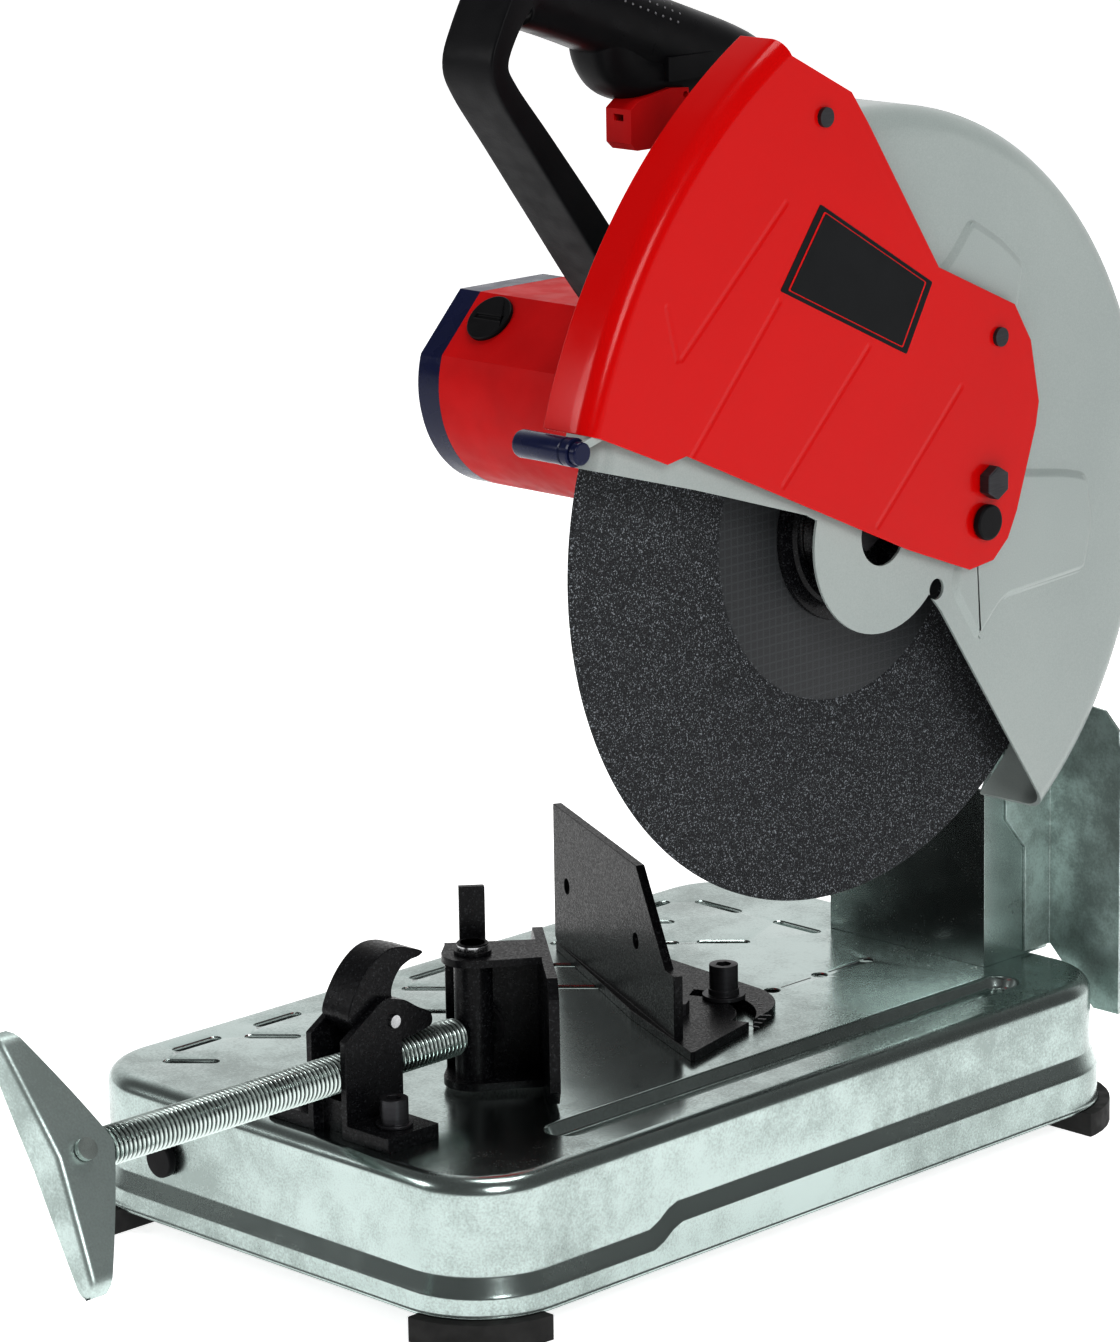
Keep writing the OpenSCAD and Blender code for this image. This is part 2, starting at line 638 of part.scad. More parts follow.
// ---------------------------------------------------------------- handle
// Closed loop of the handle, drawn in Y and Z
module handle_outline() {
    difference() {
        polygon([[-6, 400], [-108.5, 529], [-110.5, 537], [-91, 575], [-84, 590], [-72, 597],
            [-58, 594], [56, 543.5], [84, 528], [92, 505], [90, 430], [78, motor[1] + top_off],
            [6, motor[1] + top_off]]);
        polygon([[-96, 532], [-87.5, 556], [-70, 554], [-27, 539], [-26, 527], [-20, 518], [34, 518],
            [42, 500], [34, 440], [14, 430], [-10, 440], [-46, 477.5]]);
    }
}
module grip_shell(x, w) difference() {
    side(x, w) handle_outline();
    translate([grip_x - 10, -23.5, 519.5]) cube([20, 59.5, 22]);
    translate([grip_x - 10, -24, 515]) cube([20, 50, 10]);
    bar_y(grip_x, 60, 470, 11, 60);
    side(case_x[0] - 8, 60) motor_outline(-0.4);
    side(case_x[0] - 8, 60) case_outline(-0.4);
}
module handle_left() color("#111") grip_shell(grip_x - grip_w / 2, grip_w / 2);
module handle_right() color("#111") {
    grip_shell(grip_x, grip_w / 2);
    bar_x(grip_x - 9.5, trigger_hinge, 3, 20);
}
module switch_body() color("#222") translate([grip_x - 9, 2, 530]) cube([18, 30, 11]);
trigger_hinge = [14, 523];
module trigger() color("#c40000") difference() {
    side(grip_x - 8, 16) polygon([[-17, 523], [-22, 519.5], [-22, 504], [-18, 500.5],
        [2, 500.5], [14, 510], [17, 520], [16, 526], [4, 527]]);
    bar_x(grip_x - 9, trigger_hinge, 3.1, 18);
    translate([grip_x - 3, -30, 514]) cube([6, 18, 3]);
}
module trigger_spring() color("#aaa") translate([grip_x, -6, 527.2]) rotate([0, -90, 0])
    coil_x(0, [0, 0], 7, 1.2, 9);
module cord_gland() color("#111") difference() {
    union() {
        bar_y(grip_x, 84, 470, 10.8, 30);
        bar_y(grip_x, 91.5, 470, 16, 3);
    }
    bar_y(grip_x, 60, 470, 7, 70);
}

// ---------------------------------------------------------------- vise
cheek_x = 13;                        // outer face of a cheek from the screw
cheek_t = 3.5;
bracket_front = -212;
bracket_rear = -177;
module cheek_outline() polygon([[bracket_front, top_z], [bracket_front, 121], [-190.4, 134.5],
    [-186, 136], [bracket_rear, 133.5], [bracket_rear, top_z]]);
nut_foot_h = 7;
foot_reach = 40;
module nut_bracket() color("#111") difference() {
    union() {
        for (s = [vise_x - cheek_x, vise_x + cheek_x - cheek_t]) side(s, cheek_t) cheek_outline();
        for (s = [vise_x - foot_reach, vise_x + cheek_x - 1])
            translate([s, bracket_front, top_z])
                cube([foot_reach - cheek_x + 1, 31, nut_foot_h]);
        translate([vise_x - cheek_x, bracket_front + 6, top_z]) cube([2 * cheek_x, 20, 15]);
    }
    for (x = nut_bolt_x) translate([x, nut_bolt_y, top_z - 1]) cylinder(h = 12, d = 8);
    bar_x(vise_x - 20, lever_axis, 6, 40);
    bar_y(vise_x, bracket_front, screw_z, screw_d + 2, 50);
}
lever_axis = [-182, 124.5];
nut_bolt_x = [vise_x - 27, vise_x + 27];
nut_bolt_y = -196;
module nut_bracket_bolts() color("#181818") for (x = nut_bolt_x) {
    socket_screw(x, nut_bolt_y, top_z + nut_foot_h + 1.5, 8, 13, 11.5, 16);
    washer(x, nut_bolt_y, top_z + nut_foot_h, 17, 8, 1.5);
    under_nut(x, nut_bolt_y);
}
module lever_pin() color("#888") bar_x(vise_x - cheek_x - 1.5, lever_axis, 6, 2 * cheek_x + 3);
lever_w = 18;
module release_lever() color("#111") difference() {
    side(vise_x - lever_w / 2, lever_w) polygon([[-206, 129], [-204, 137], [-192, 151.5], [-180, 157.5],
        [-167, 155], [-159, 151.5], [-163, 149], [-172, 147.5], [-179, 141], [-181, 134],
        [-174, 132], [-160, 124], [-154.5, 121], [-154, 113.5], [-165, screw_z + screw_d / 2 + 1],
        [-186, screw_z + screw_d / 2 + 1], [-192, 122]]);
    bar_x(vise_x - 20, lever_axis, 6 + 2 * run_gap, 40);
}
neck_d = 10;
module vise_screw() color("silver") {
    bar_y(vise_x, screw_y0 + 11, screw_z, screw_d, post_y - post_r - 11.5 - screw_y0);
    bar_y(vise_x, post_y - post_r - 1, screw_z, neck_d, 2 * post_r + 3.5);
    difference() {
        bar_y(vise_x, screw_y0 - 16, screw_z, 13, 28);
        rivet_bore();
    }
}
module rivet_bore() translate([vise_x, hub_y, screw_z]) rotate([0, 90 - wing_turn, 0])
    translate([0, 0, -30]) cylinder(h = 60, d = 5);
post_r = 9;
module jaw_post() color("#141414") difference() {
    union() {
        translate([vise_x, post_y, lug_z[0] + lug_t]) cylinder(h = lug_z[1] - lug_z[0] - lug_t, r = post_r);
        translate([vise_x, post_y, lug_z[0]]) cylinder(h = lug_z[1] - lug_z[0] + lug_t + 1.5, d = 9);
        translate([vise_x, post_y, lug_z[1] + lug_t + 0.2]) cylinder(h = 1.6, d = 17.5);
        translate([vise_x, post_y, lug_z[1] + lug_t + 1.5]) cylinder(h = 3.5, d = 14.5);
    }
    bar_y(vise_x, post_y - 20, screw_z, neck_d + 2 * run_gap, 40);
}
module screw_end_bolt() color("#222") {
    difference() {
        bar_y(vise_x, post_y + post_r + 0.5, screw_z, 17, 2);
        bar_y(vise_x, post_y + post_r, screw_z, neck_d, 3);
    }
    translate([vise_x, post_y + post_r + 2.5, screw_z]) rotate([-90, 0, 0])
        cylinder(h = 3, d = 10 / cos(30), $fn = 6);
}
lug_z = [77.5, 136.5];
lug_t = 3.5;
plate_off = 31;
module at_jaw() translate([vise_x, post_y, 0]) rotate([0, 0, jaw_turn]) children();
module lug_outline() hull() {
    circle(14.5);
    translate([-14.5, -12]) square([3, 20]);
    translate([-14.5, plate_off - 3]) square([26, 3]);
}
module jaw_yoke() color("#121212") at_jaw() difference() {
    union() {
        for (z = lug_z) translate([0, 0, z]) linear_extrude(lug_t) lug_outline();
        translate([-17, -12, lug_z[0]]) cube([3, plate_off + 12, lug_z[1] + lug_t - lug_z[0]]);
        translate([-17, -5, lug_z[1]]) cube([3, 12, 31]);
    }
    translate([0, 0, 60]) cylinder(h = 100, d = 9 + 2 * run_gap);
    translate([-17.5, 5, lug_z[1] + 32]) rotate([-35, 0, 0]) cube([4, 14, 8]);
}
jaw_w = 98;
jaw_t = 5;
jaw_h = 60;
module jaw_plate() color("#121212") at_jaw() difference() {
    translate([-4, plate_off, lug_z[0]]) rotate([-90, 0, 0]) linear_extrude(jaw_t)
        polygon([for (p = [[-1, 8], [-1, jaw_h - 8], [-0.84, jaw_h], [0.84, jaw_h], [1, jaw_h - 8],
            [1, 8], [0.84, 0], [-0.84, 0]]) [p[0] * jaw_w / 2, -p[1]]]);
    for (x = [-30, 22]) translate([x, plate_off - 1, lug_z[0] + 33]) rotate([-90, 0, 0])
        cylinder(h = 10, d = 6);
}
// Stamped wing handle: two swept wings, each a web with side flanges
wing_len = 61;
wing_turn = 30.5;
hub_y = screw_y0 - 9;
module wing() difference() {
    hull() {
        translate([-11, -14, -1]) cube([22, 32, 2]);
        translate([-6, -19, wing_len - 2]) cube([12, 10, 2]);
    }
    hull() {
        translate([-8.5, -12, -2]) cube([17, 40, 2]);
        translate([-3.5, -17, wing_len - 4]) cube([7, 20, 2]);
    }
}
module screw_handle() color("silver") difference() {
    translate([vise_x, hub_y, screw_z]) union() {
        for (s = [0, 180]) rotate([0, s - wing_turn, 0]) wing();
        rotate([90, 0, 0]) translate([0, 0, 8]) cylinder(h = 8, d = 17);
    }
    bar_y(vise_x, hub_y - 12, screw_z, 13, 60);
    rivet_bore();
}
module handle_rivet() color("silver")
    translate([vise_x, hub_y, screw_z]) rotate([0, 90 - wing_turn, 0]) {
        translate([0, 0, -14]) cylinder(h = 28, d = 5);
        for (s = [0, 180]) rotate([s, 0, 0]) translate([0, 0, 11.1]) cylinder(h = 3, d = 10);
    }

// ---------------------------------------------------------------- fence
fence_t = 4.5;
module at_fence() translate([vise_x, hole_y0, 0]) rotate([0, 0, fence_turn]) children();
module fence_plate() color("#121212") at_fence() difference() {
    union() {
        translate([0, -14 + fence_t, 0]) rotate([90, 0, 0]) linear_extrude(fence_t)
            polygon([[-136, 82], [-136, 151], [-13.6, 151], [26, 110], [38, 110], [38, top_z],
                [-129, top_z]]);
        translate([0, 0, top_z]) linear_extrude(fence_t) hull() {
            polygon([[-135, -14], [-135, 4], [-90, 27], [60, -12], [60, -14]]);
            translate([-12, 18]) circle(36, $fn = 64);
        }
    }
    translate([0, 0, top_z - 1]) cylinder(h = 8, d = m8_hole);
    fence_arc();
    for (x = [-116.6, -15.1]) translate([x, 0, 113]) rotate([90, 0, 0]) cylinder(h = 30, d = 8);
}
// Slot that the lock bolt runs in, an arc about the fence pivot
arc_from = 47;
arc_to = 146;
module fence_arc() translate([0, 0, top_z - 1]) rotate([0, 0, arc_from])
    rotate_extrude(angle = arc_to - arc_from) translate([hole_step - 4.75, 0]) square([9.5, 8]);
module fence_pivot_bolt() color("#333") {
    translate([vise_x, hole_y0, top_z - 12]) cylinder(h = 12 + fence_t + 2, d = 8.4);
    hex_z(vise_x, hole_y0, top_z + fence_t + 0.1, nut_af, 6);
    under_nut(vise_x, hole_y0);
}
module fence_lock_bolt() color("#161616") {
    y = hole_y0 + hole_step;
    socket_screw(vise_x, y, top_z + fence_t + 5, 8.4, 14, 12, 22);
    washer(vise_x, y, top_z + fence_t + 0.1, 21, 8.4, 2);
    washer(vise_x, y, top_z + fence_t + 2.1, 15, 8.4, 2.9);
    under_nut(vise_x, y);
}

base_pan();
base_feet();
base_plug();
pivot_bracket();
bracket_screws();
spark_guard();
pivot_shaft();
pivot_nuts();
depth_stop();
return_spring();
nut_bracket();
nut_bracket_bolts();
lever_pin();
fence_pivot_bolt();
fence_lock_bolt();
fence_plate();
release_lever();
jaw_post();
vise_screw();
screw_handle();
handle_rivet();
screw_end_bolt();
jaw_yoke();
jaw_plate();
head_arm();
bearing_cover();
ball_bearings();
motor_housing();
motor_end_cap();
brush_caps();
brushes();
stator();
housing_screws();
handle_left();
handle_right();
switch_body();
trigger_spring();
lock_spring();
guard_shell();
guard_back();
guard_bolts();
hood_pivot();
cord_gland();
hood();
hood_bolt();
hood_screws();
label_plate();
knob_tab();
lift_knob();
spindle();
spindle_gear();
inner_flange();
outer_flange();
arbor_bolt();
cutting_disc();
armature();
fan();
motor_pinion();
trigger();
lock_button();
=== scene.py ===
"""Looks of the abrasive chop saw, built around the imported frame.

Lengths are in metres, in the frame's own axes: +X operator's right, -Y operator, +Z up.
"""

import json
import math

import bmesh
import bpy
from mathutils import Matrix, Vector
from mathutils.geometry import delaunay_2d_cdt


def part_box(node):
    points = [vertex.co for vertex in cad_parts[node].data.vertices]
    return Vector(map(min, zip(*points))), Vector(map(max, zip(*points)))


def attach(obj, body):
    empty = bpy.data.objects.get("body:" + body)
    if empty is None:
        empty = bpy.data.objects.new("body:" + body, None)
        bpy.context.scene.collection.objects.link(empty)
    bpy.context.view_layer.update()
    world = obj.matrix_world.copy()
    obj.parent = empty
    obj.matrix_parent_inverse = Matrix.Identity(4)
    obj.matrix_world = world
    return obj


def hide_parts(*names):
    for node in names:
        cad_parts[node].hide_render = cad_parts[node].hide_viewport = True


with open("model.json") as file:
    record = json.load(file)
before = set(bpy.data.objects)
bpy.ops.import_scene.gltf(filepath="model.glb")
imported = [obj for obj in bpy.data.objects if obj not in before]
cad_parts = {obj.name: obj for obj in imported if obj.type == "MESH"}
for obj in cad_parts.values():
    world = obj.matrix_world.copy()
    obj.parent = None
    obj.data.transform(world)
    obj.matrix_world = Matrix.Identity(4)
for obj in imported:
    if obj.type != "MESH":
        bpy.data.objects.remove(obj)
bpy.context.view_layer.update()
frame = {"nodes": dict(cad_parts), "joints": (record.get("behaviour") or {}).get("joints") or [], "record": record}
JOINTS = {j["name"]: j for j in frame["joints"]}


def joint_at(name):
    return Vector(JOINTS[name]["pos_m"])


SPIN = joint_at("spindle_spin")
MOTOR = joint_at("armature_spin")
HOOD_HINGE = joint_at("hood_hinge")
JAW_POST = joint_at("jaw_swivel")
FENCE_PIVOT = joint_at("fence_swing")
LEVER_PIN = joint_at("release_lever_hinge")
BASE_LOW, BASE_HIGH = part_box("base_pan")
HOLE_STEP = 0.0345
DISC_X = sum(corner.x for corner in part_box("cutting_disc")) / 2


# ------------------------------------------------------------------ node helpers
class Graph:
    """A material's node tree, with short names for the nodes that the looks use."""

    def __init__(self, name, base, rough, metal=0.0, **sockets):
        self.material = bpy.data.materials.new(name)
        self.material.use_nodes = True
        self.material.diffuse_color = (*base, 1.0)
        self.tree = self.material.node_tree
        self.shader = self.tree.nodes["Principled BSDF"]
        self.put("Base Color", (*base, 1.0))
        self.put("Roughness", rough)
        self.put("Metallic", metal)
        for socket, value in sockets.items():
            self.put(socket.replace("_", " "), value)
        self.place = self.add("ShaderNodeTexCoord").outputs["Object"]
        self.height = None

    def put(self, socket, value):
        self.shader.inputs[socket].default_value = value

    def add(self, kind, **settings):
        node = self.tree.nodes.new(kind)
        for key, value in settings.items():
            setattr(node, key, value)
        return node

    def wire(self, source, target):
        if hasattr(source, "is_output"):
            self.tree.links.new(source, target)
        else:
            target.default_value = source

    def math(self, operation, a, b=0.0, c=0.0):
        node = self.add("ShaderNodeMath", operation=operation)
        for value, socket in zip((a, b, c), node.inputs):
            self.wire(value, socket)
        return node.outputs[0]

    def noise(self, scale, detail=3.0, rough=0.5, stretch=None):
        node = self.add("ShaderNodeTexNoise")
        node.inputs["Scale"].default_value = scale
        node.inputs["Detail"].default_value = detail
        node.inputs["Roughness"].default_value = rough
        place = self.place
        if stretch:
            mapping = self.add("ShaderNodeMapping")
            mapping.inputs["Scale"].default_value = stretch
            self.wire(place, mapping.inputs["Vector"])
            place = mapping.outputs[0]
        self.wire(place, node.inputs["Vector"])
        return node.outputs["Fac"]

    def cells(self, scale, output="Distance"):
        node = self.add("ShaderNodeTexVoronoi")
        node.inputs["Scale"].default_value = scale
        self.wire(self.place, node.inputs["Vector"])
        return node.outputs[output]

    def grey(self, colour):
        node = self.add("ShaderNodeSeparateColor")
        self.wire(colour, node.inputs[0])
        return node.outputs[0]

    def ramp(self, value, low, high, to_low=0.0, to_high=1.0):
        node = self.add("ShaderNodeMapRange", interpolation_type="SMOOTHSTEP")
        for value_in, socket in zip((value, low, high, to_low, to_high), node.inputs):
            self.wire(value_in, socket)
        return node.outputs[0]

    def blend(self, amount, a, b):
        node = self.add("ShaderNodeMix", data_type="RGBA")
        self.wire(amount, node.inputs["Factor"])
        for value, socket in ((a, node.inputs[6]), (b, node.inputs[7])):
            self.wire(value if hasattr(value, "is_output") else (*value, 1.0), socket)
        return node.outputs[2]

    def colour(self, source):
        self.wire(source, self.shader.inputs["Base Color"])
        return self

    def roughness(self, source):
        self.wire(source, self.shader.inputs["Roughness"])
        return self

    def relief(self, source, strength, distance=0.0004):
        """Adds a bump on top of the ones that came before it."""
        node = self.add("ShaderNodeBump")
        node.inputs["Strength"].default_value = strength
        node.inputs["Distance"].default_value = distance
        self.wire(source, node.inputs["Height"])
        if self.height is not None:
            self.wire(self.height, node.inputs["Normal"])
        self.height = node.outputs[0]
        self.wire(self.height, self.shader.inputs["Normal"])
        return self

    def axes(self):
        node = self.add("ShaderNodeSeparateXYZ")
        self.wire(self.place, node.inputs[0])
        return node.outputs

    def length(self, a, b):
        total = self.math("ADD", self.math("MULTIPLY", a, a), self.math("MULTIPLY", b, b))
        return self.math("SQRT", total)

    def radius(self, centre, line=0):
        """Distance from the line through centre along X, or along Y where line is 1."""
        place = self.axes()
        return self.length(*(self.math("SUBTRACT", place[i], centre[i]) for i in range(3) if i != line))

    def line_distance(self, a, b):
        """Distance in the YZ plane from the stretch a to b, each (y, z)."""
        _, y, z = self.axes()
        run = Vector(b) - Vector(a)
        reach = run.length
        run.normalize()
        dy = self.math("SUBTRACT", y, a[0])
        dz = self.math("SUBTRACT", z, a[1])
        along = self.math("ADD", self.math("MULTIPLY", dy, run.x), self.math("MULTIPLY", dz, run.y))
        over = self.math("MAXIMUM", self.math("SUBTRACT", 0.0, along), self.math("SUBTRACT", along, reach))
        over = self.math("MAXIMUM", over, 0.0)
        across = self.math("SUBTRACT", self.math("MULTIPLY", dz, run.x), self.math("MULTIPLY", dy, run.y))
        return self.length(over, across)


# ------------------------------------------------------------------ materials
def galvanised(name, blotch=0.25, tone=1.0, dull=0.0):
    """Cold-rolled zinc sheet: soft clouds, a fine grain, and slow waves in the surface."""
    dark, light = (0.30 * tone, 0.35 * tone, 0.335 * tone), (0.48 * tone, 0.56 * tone, 0.54 * tone)
    g = Graph(name, light, 0.22, 1.0)
    cloud = g.noise(11.0, 4.0)
    patch = g.noise(70.0, 4.0, 0.6)
    grain = g.noise(900.0, 2.0)
    mix = g.math("ADD", g.math("MULTIPLY", patch, blotch), g.math("MULTIPLY", cloud, 0.75 - blotch))
    mix = g.math("ADD", mix, g.math("MULTIPLY", grain, 0.25))
    g.colour(g.blend(g.ramp(mix, 0.38, 0.62), dark, light))
    g.roughness(g.ramp(mix, 0.38, 0.62, 0.29 + dull, 0.17 + dull))
    g.relief(g.noise(6.0, 2.0), 0.25, 0.006)
    g.relief(grain, 0.05, 0.0002)
    return g.material


def gloss_paint(name, colour, rough=0.22, peel=0.05):
    g = Graph(name, colour, rough, Coat_Weight=0.08, Coat_Roughness=0.05, Specular_IOR_Level=0.15)
    dark = tuple(c * 0.82 for c in colour)
    g.colour(g.blend(g.noise(6.0, 3.0), dark, colour))
    g.roughness(g.ramp(g.noise(60.0, 3.0), 0.3, 0.7, rough * 0.85, rough * 1.25))
    g.relief(g.noise(420.0, 2.0), peel, 0.0003)
    return g


def grey_paint(name):
    g = Graph(name, (0.33, 0.37, 0.355), 0.36, Coat_Weight=0.15, Coat_Roughness=0.2)
    fleck = g.noise(1600.0, 2.0)
    cloud = g.noise(8.0, 3.0)
    tone = g.math("ADD", g.math("MULTIPLY", fleck, 0.5), g.math("MULTIPLY", cloud, 0.5))
    g.colour(g.blend(g.ramp(tone, 0.3, 0.7), (0.295, 0.335, 0.325), (0.36, 0.40, 0.385)))
    g.roughness(g.ramp(cloud, 0.3, 0.7, 0.3, 0.42))
    g.relief(g.noise(520.0, 3.0), 0.09, 0.0003)
    return g.material


def speckled_black(name, rough=0.34):
    """Black enamel on a casting or plate: fine orange peel that sparkles."""
    g = Graph(name, (0.006, 0.006, 0.007), rough, Coat_Weight=0.03, Coat_Roughness=0.12,
              Specular_IOR_Level=0.16)
    fleck = g.grey(g.cells(1500.0, output="Color"))
    g.colour(g.blend(g.ramp(fleck, 0.8, 1.0), (0.004, 0.004, 0.005), (0.03, 0.032, 0.035)))
    g.roughness(g.ramp(fleck, 0.2, 0.95, rough + 0.1, rough - 0.1))
    g.relief(g.noise(650.0, 3.0), 0.22, 0.0004)
    g.relief(g.noise(60.0, 3.0), 0.1, 0.0008)
    return g.material


def moulded(name, colour, rough, grain=900.0, depth=0.12, coat=0.0):
    g = Graph(name, colour, rough, Coat_Weight=coat, Coat_Roughness=0.12, Specular_IOR_Level=0.12)
    light = tuple(min(1.0, c * 1.2 + 0.001) for c in colour)
    g.colour(g.blend(g.ramp(g.noise(25.0, 4.0), 0.35, 0.7), colour, light))
    g.roughness(g.ramp(g.noise(90.0, 3.0), 0.3, 0.7, rough - 0.05, rough + 0.08))
    g.relief(g.cells(grain), depth, 0.0002)
    return g.material


def dot_sheen_and_tick_grey(name):
    """Painted highlight on the grip's dots, a little lighter than the grip; the fence's scale ticks share it."""
    g = Graph(name, (0.16, 0.16, 0.17), 0.35)
    g.colour(g.blend(g.noise(300.0), (0.10, 0.10, 0.11), (0.24, 0.24, 0.25)))
    g.roughness(g.ramp(g.noise(500.0), 0.3, 0.7, 0.28, 0.42))
    return g.material


def rubber(name):
    g = Graph(name, (0.012, 0.012, 0.012), 0.7, Specular_IOR_Level=0.3)
    g.colour(g.blend(g.noise(60.0, 4.0), (0.011, 0.011, 0.011), (0.028, 0.028, 0.027)))
    g.roughness(g.ramp(g.noise(140.0), 0.3, 0.7, 0.6, 0.8))
    g.relief(g.noise(900.0, 3.0), 0.2, 0.0003)
    return g.material


def steel(name, colour, rough, lines=(1.0, 1.0, 60.0), metal=1.0):
    """Turned or drawn steel, its faint lines stretched along an axis."""
    g = Graph(name, colour, rough, metal)
    streak = g.noise(90.0, 4.0, stretch=lines)
    dark = tuple(c * 0.72 for c in colour)
    g.colour(g.blend(g.ramp(streak, 0.3, 0.7), dark, colour))
    g.roughness(g.ramp(g.noise(70.0, 3.0), 0.3, 0.7, rough * 0.8, rough * 1.35))
    g.relief(streak, 0.12, 0.0002)
    return g.material


def threaded_zinc(name):
    """Zinc plate whose thread roots are darker than its crests: painted shade in the roots, painted highlight on
    the crests.
    """
    g = Graph(name, (0.55, 0.62, 0.59), 0.3, 1.0)
    root, crest = 0.0078, 0.0087
    # Dark roots are painted shade, bright crests a painted highlight.
    dark, bright = (0.05, 0.06, 0.058), (0.66, 0.74, 0.71)
    g.colour(g.blend(g.ramp(g.radius(JAW_POST, 1), root, crest), dark, bright))
    g.roughness(g.ramp(g.noise(70.0, 3.0), 0.3, 0.7, 0.25, 0.4))
    return g.material


def casting(name):
    g = Graph(name, (0.36, 0.375, 0.37), 0.48, 0.6)
    grain = g.noise(480.0, 4.0)
    g.colour(g.blend(g.ramp(grain, 0.3, 0.7), (0.29, 0.30, 0.30), (0.43, 0.45, 0.44)))
    g.roughness(g.ramp(grain, 0.3, 0.7, 0.42, 0.6))
    g.relief(grain, 0.4, 0.0005)
    return g.material


def abrasive(name):
    """Grit in resin, the bonded centre smoother, with the glass net just showing."""
    g = Graph(name, (0.03, 0.032, 0.035), 0.8, Specular_IOR_Level=0.3)
    centre_edge, net_pitch = (0.081, 0.083), 0.0042
    centre = g.ramp(g.radius(SPIN), *centre_edge, 1.0, 0.0)
    grit = g.cells(1300.0)
    spark = g.ramp(g.grey(g.cells(1700.0, output="Color")), 0.80, 0.97)
    _, y, z = g.axes()
    net = []
    for along in (y, z):
        wave = g.math("SINE", g.math("MULTIPLY", along, 2 * math.pi / net_pitch))
        net.append(g.ramp(wave, 0.55, 1.0))
    threads = g.math("MAXIMUM", net[0], net[1])
    resin = g.blend(g.ramp(grit, 0.1, 0.7), (0.042, 0.045, 0.049), (0.012, 0.013, 0.015))
    rough_tone = g.blend(spark, resin, (0.26, 0.28, 0.30))
    smooth_tone = g.blend(threads, (0.024, 0.026, 0.028), (0.034, 0.037, 0.040))
    g.colour(g.blend(centre, rough_tone, smooth_tone))
    g.roughness(g.ramp(centre, 0.0, 1.0, 0.78, 0.52))
    height = g.math("MULTIPLY", g.math("SUBTRACT", 1.0, g.math("MULTIPLY", centre, 0.8)), grit)
    g.relief(height, 0.75, 0.0007)
    g.relief(threads, 0.12, 0.0003)
    return g.material


def copper_winding(name):
    g = Graph(name, (0.50, 0.20, 0.09), 0.35, 0.9)
    wire_pitch = 0.0011
    wave = g.math("SINE", g.math("MULTIPLY", g.axes()[0], 2 * math.pi / wire_pitch))
    # Dark troughs between the wire turns are painted shade, the lighter crests a painted highlight.
    g.colour(g.blend(g.ramp(wave, -1.0, 1.0), (0.30, 0.11, 0.05), (0.62, 0.27, 0.12)))
    g.relief(wave, 0.5, 0.0004)
    return g.material


def hood_red(name):
    """Gloss red sheet with shallow pressed grooves and a crease on its face."""
    g = gloss_paint(name, (0.60, 0.0015, 0.0015), 0.2, 0.03)
    y0, z0 = HOOD_HINGE.y, HOOD_HINGE.z
    pressed = [((-0.1356, 0.1665), (-0.2033, 0.1058)), ((-0.1406, 0.1228), (-0.1979, 0.0608)),
               ((-0.0809, 0.0942), (-0.1384, 0.0389)), ((-0.0167, 0.0665), (-0.0747, 0.0101)),
               ((-0.2123, 0.1296), (-0.2064, 0.1058))]
    for start, end in pressed:
        near = g.line_distance((y0 + start[0], z0 + start[1]), (y0 + end[0], z0 + end[1]))
        g.relief(g.ramp(near, 0.0, 0.0024), 0.4, 0.0008)
    return g.material


GALVANISED = galvanised("galvanised_sheet")
# The bracket's sheet is a darker copy (tone 0.8): painted shade for its dark reflections.
BRACKET_SHEET = galvanised("galvanised_bracket", 0.15, 0.8)
GUARD_SHEET = galvanised("galvanised_mottled", 0.6, 1.1, 0.2)
RED_HOOD = hood_red("red_hood_paint")
RED_MOTOR = moulded("red_motor_plastic", (0.50, 0.002, 0.003), 0.45, depth=0.05)
GREY = grey_paint("grey_guard_paint")
BLACK_ENAMEL = speckled_black("black_enamel")
BLACK_GLOSS = speckled_black("black_flange_gloss", 0.2)
GRIP = moulded("grip_plastic", (0.006, 0.006, 0.007), 0.32, 1400.0, 0.1)
# The grip's dots take this lighter grey as a painted highlight; the fence ticks use it as their own colour.
GRIP_DOT = dot_sheen_and_tick_grey("grip_dot")
BLACK_PLASTIC = moulded("black_plastic", (0.006, 0.006, 0.007), 0.4)
NAVY = moulded("navy_plastic", (0.006, 0.009, 0.04), 0.26, coat=0.2, depth=0.06)
LABEL_BLACK = moulded("label_black", (0.006, 0.007, 0.008), 0.35, depth=0.02)
RUBBER = rubber("foot_rubber")
ZINC = steel("zinc_plate", (0.55, 0.62, 0.59), 0.34, (1.0, 30.0, 30.0))
ZINC_THREAD = threaded_zinc("zinc_thread")
ZINC_SHEET = galvanised("zinc_stamped", 0.3, 1.15, 0.2)
BRIGHT = steel("bright_steel", (0.55, 0.56, 0.57), 0.25, (50.0, 1.0, 1.0))
OXIDE = steel("black_oxide", (0.05, 0.05, 0.055), 0.36, (1.0, 1.0, 20.0), 0.7)
SPRING = steel("spring_steel", (0.38, 0.38, 0.4), 0.32, (20.0, 1.0, 1.0))
LAMINATION = steel("laminations", (0.32, 0.32, 0.34), 0.4, (260.0, 1.0, 1.0))
CAST = casting("cast_aluminium")
GRIT = abrasive("abrasive_disc")
COPPER = copper_winding("copper_winding")

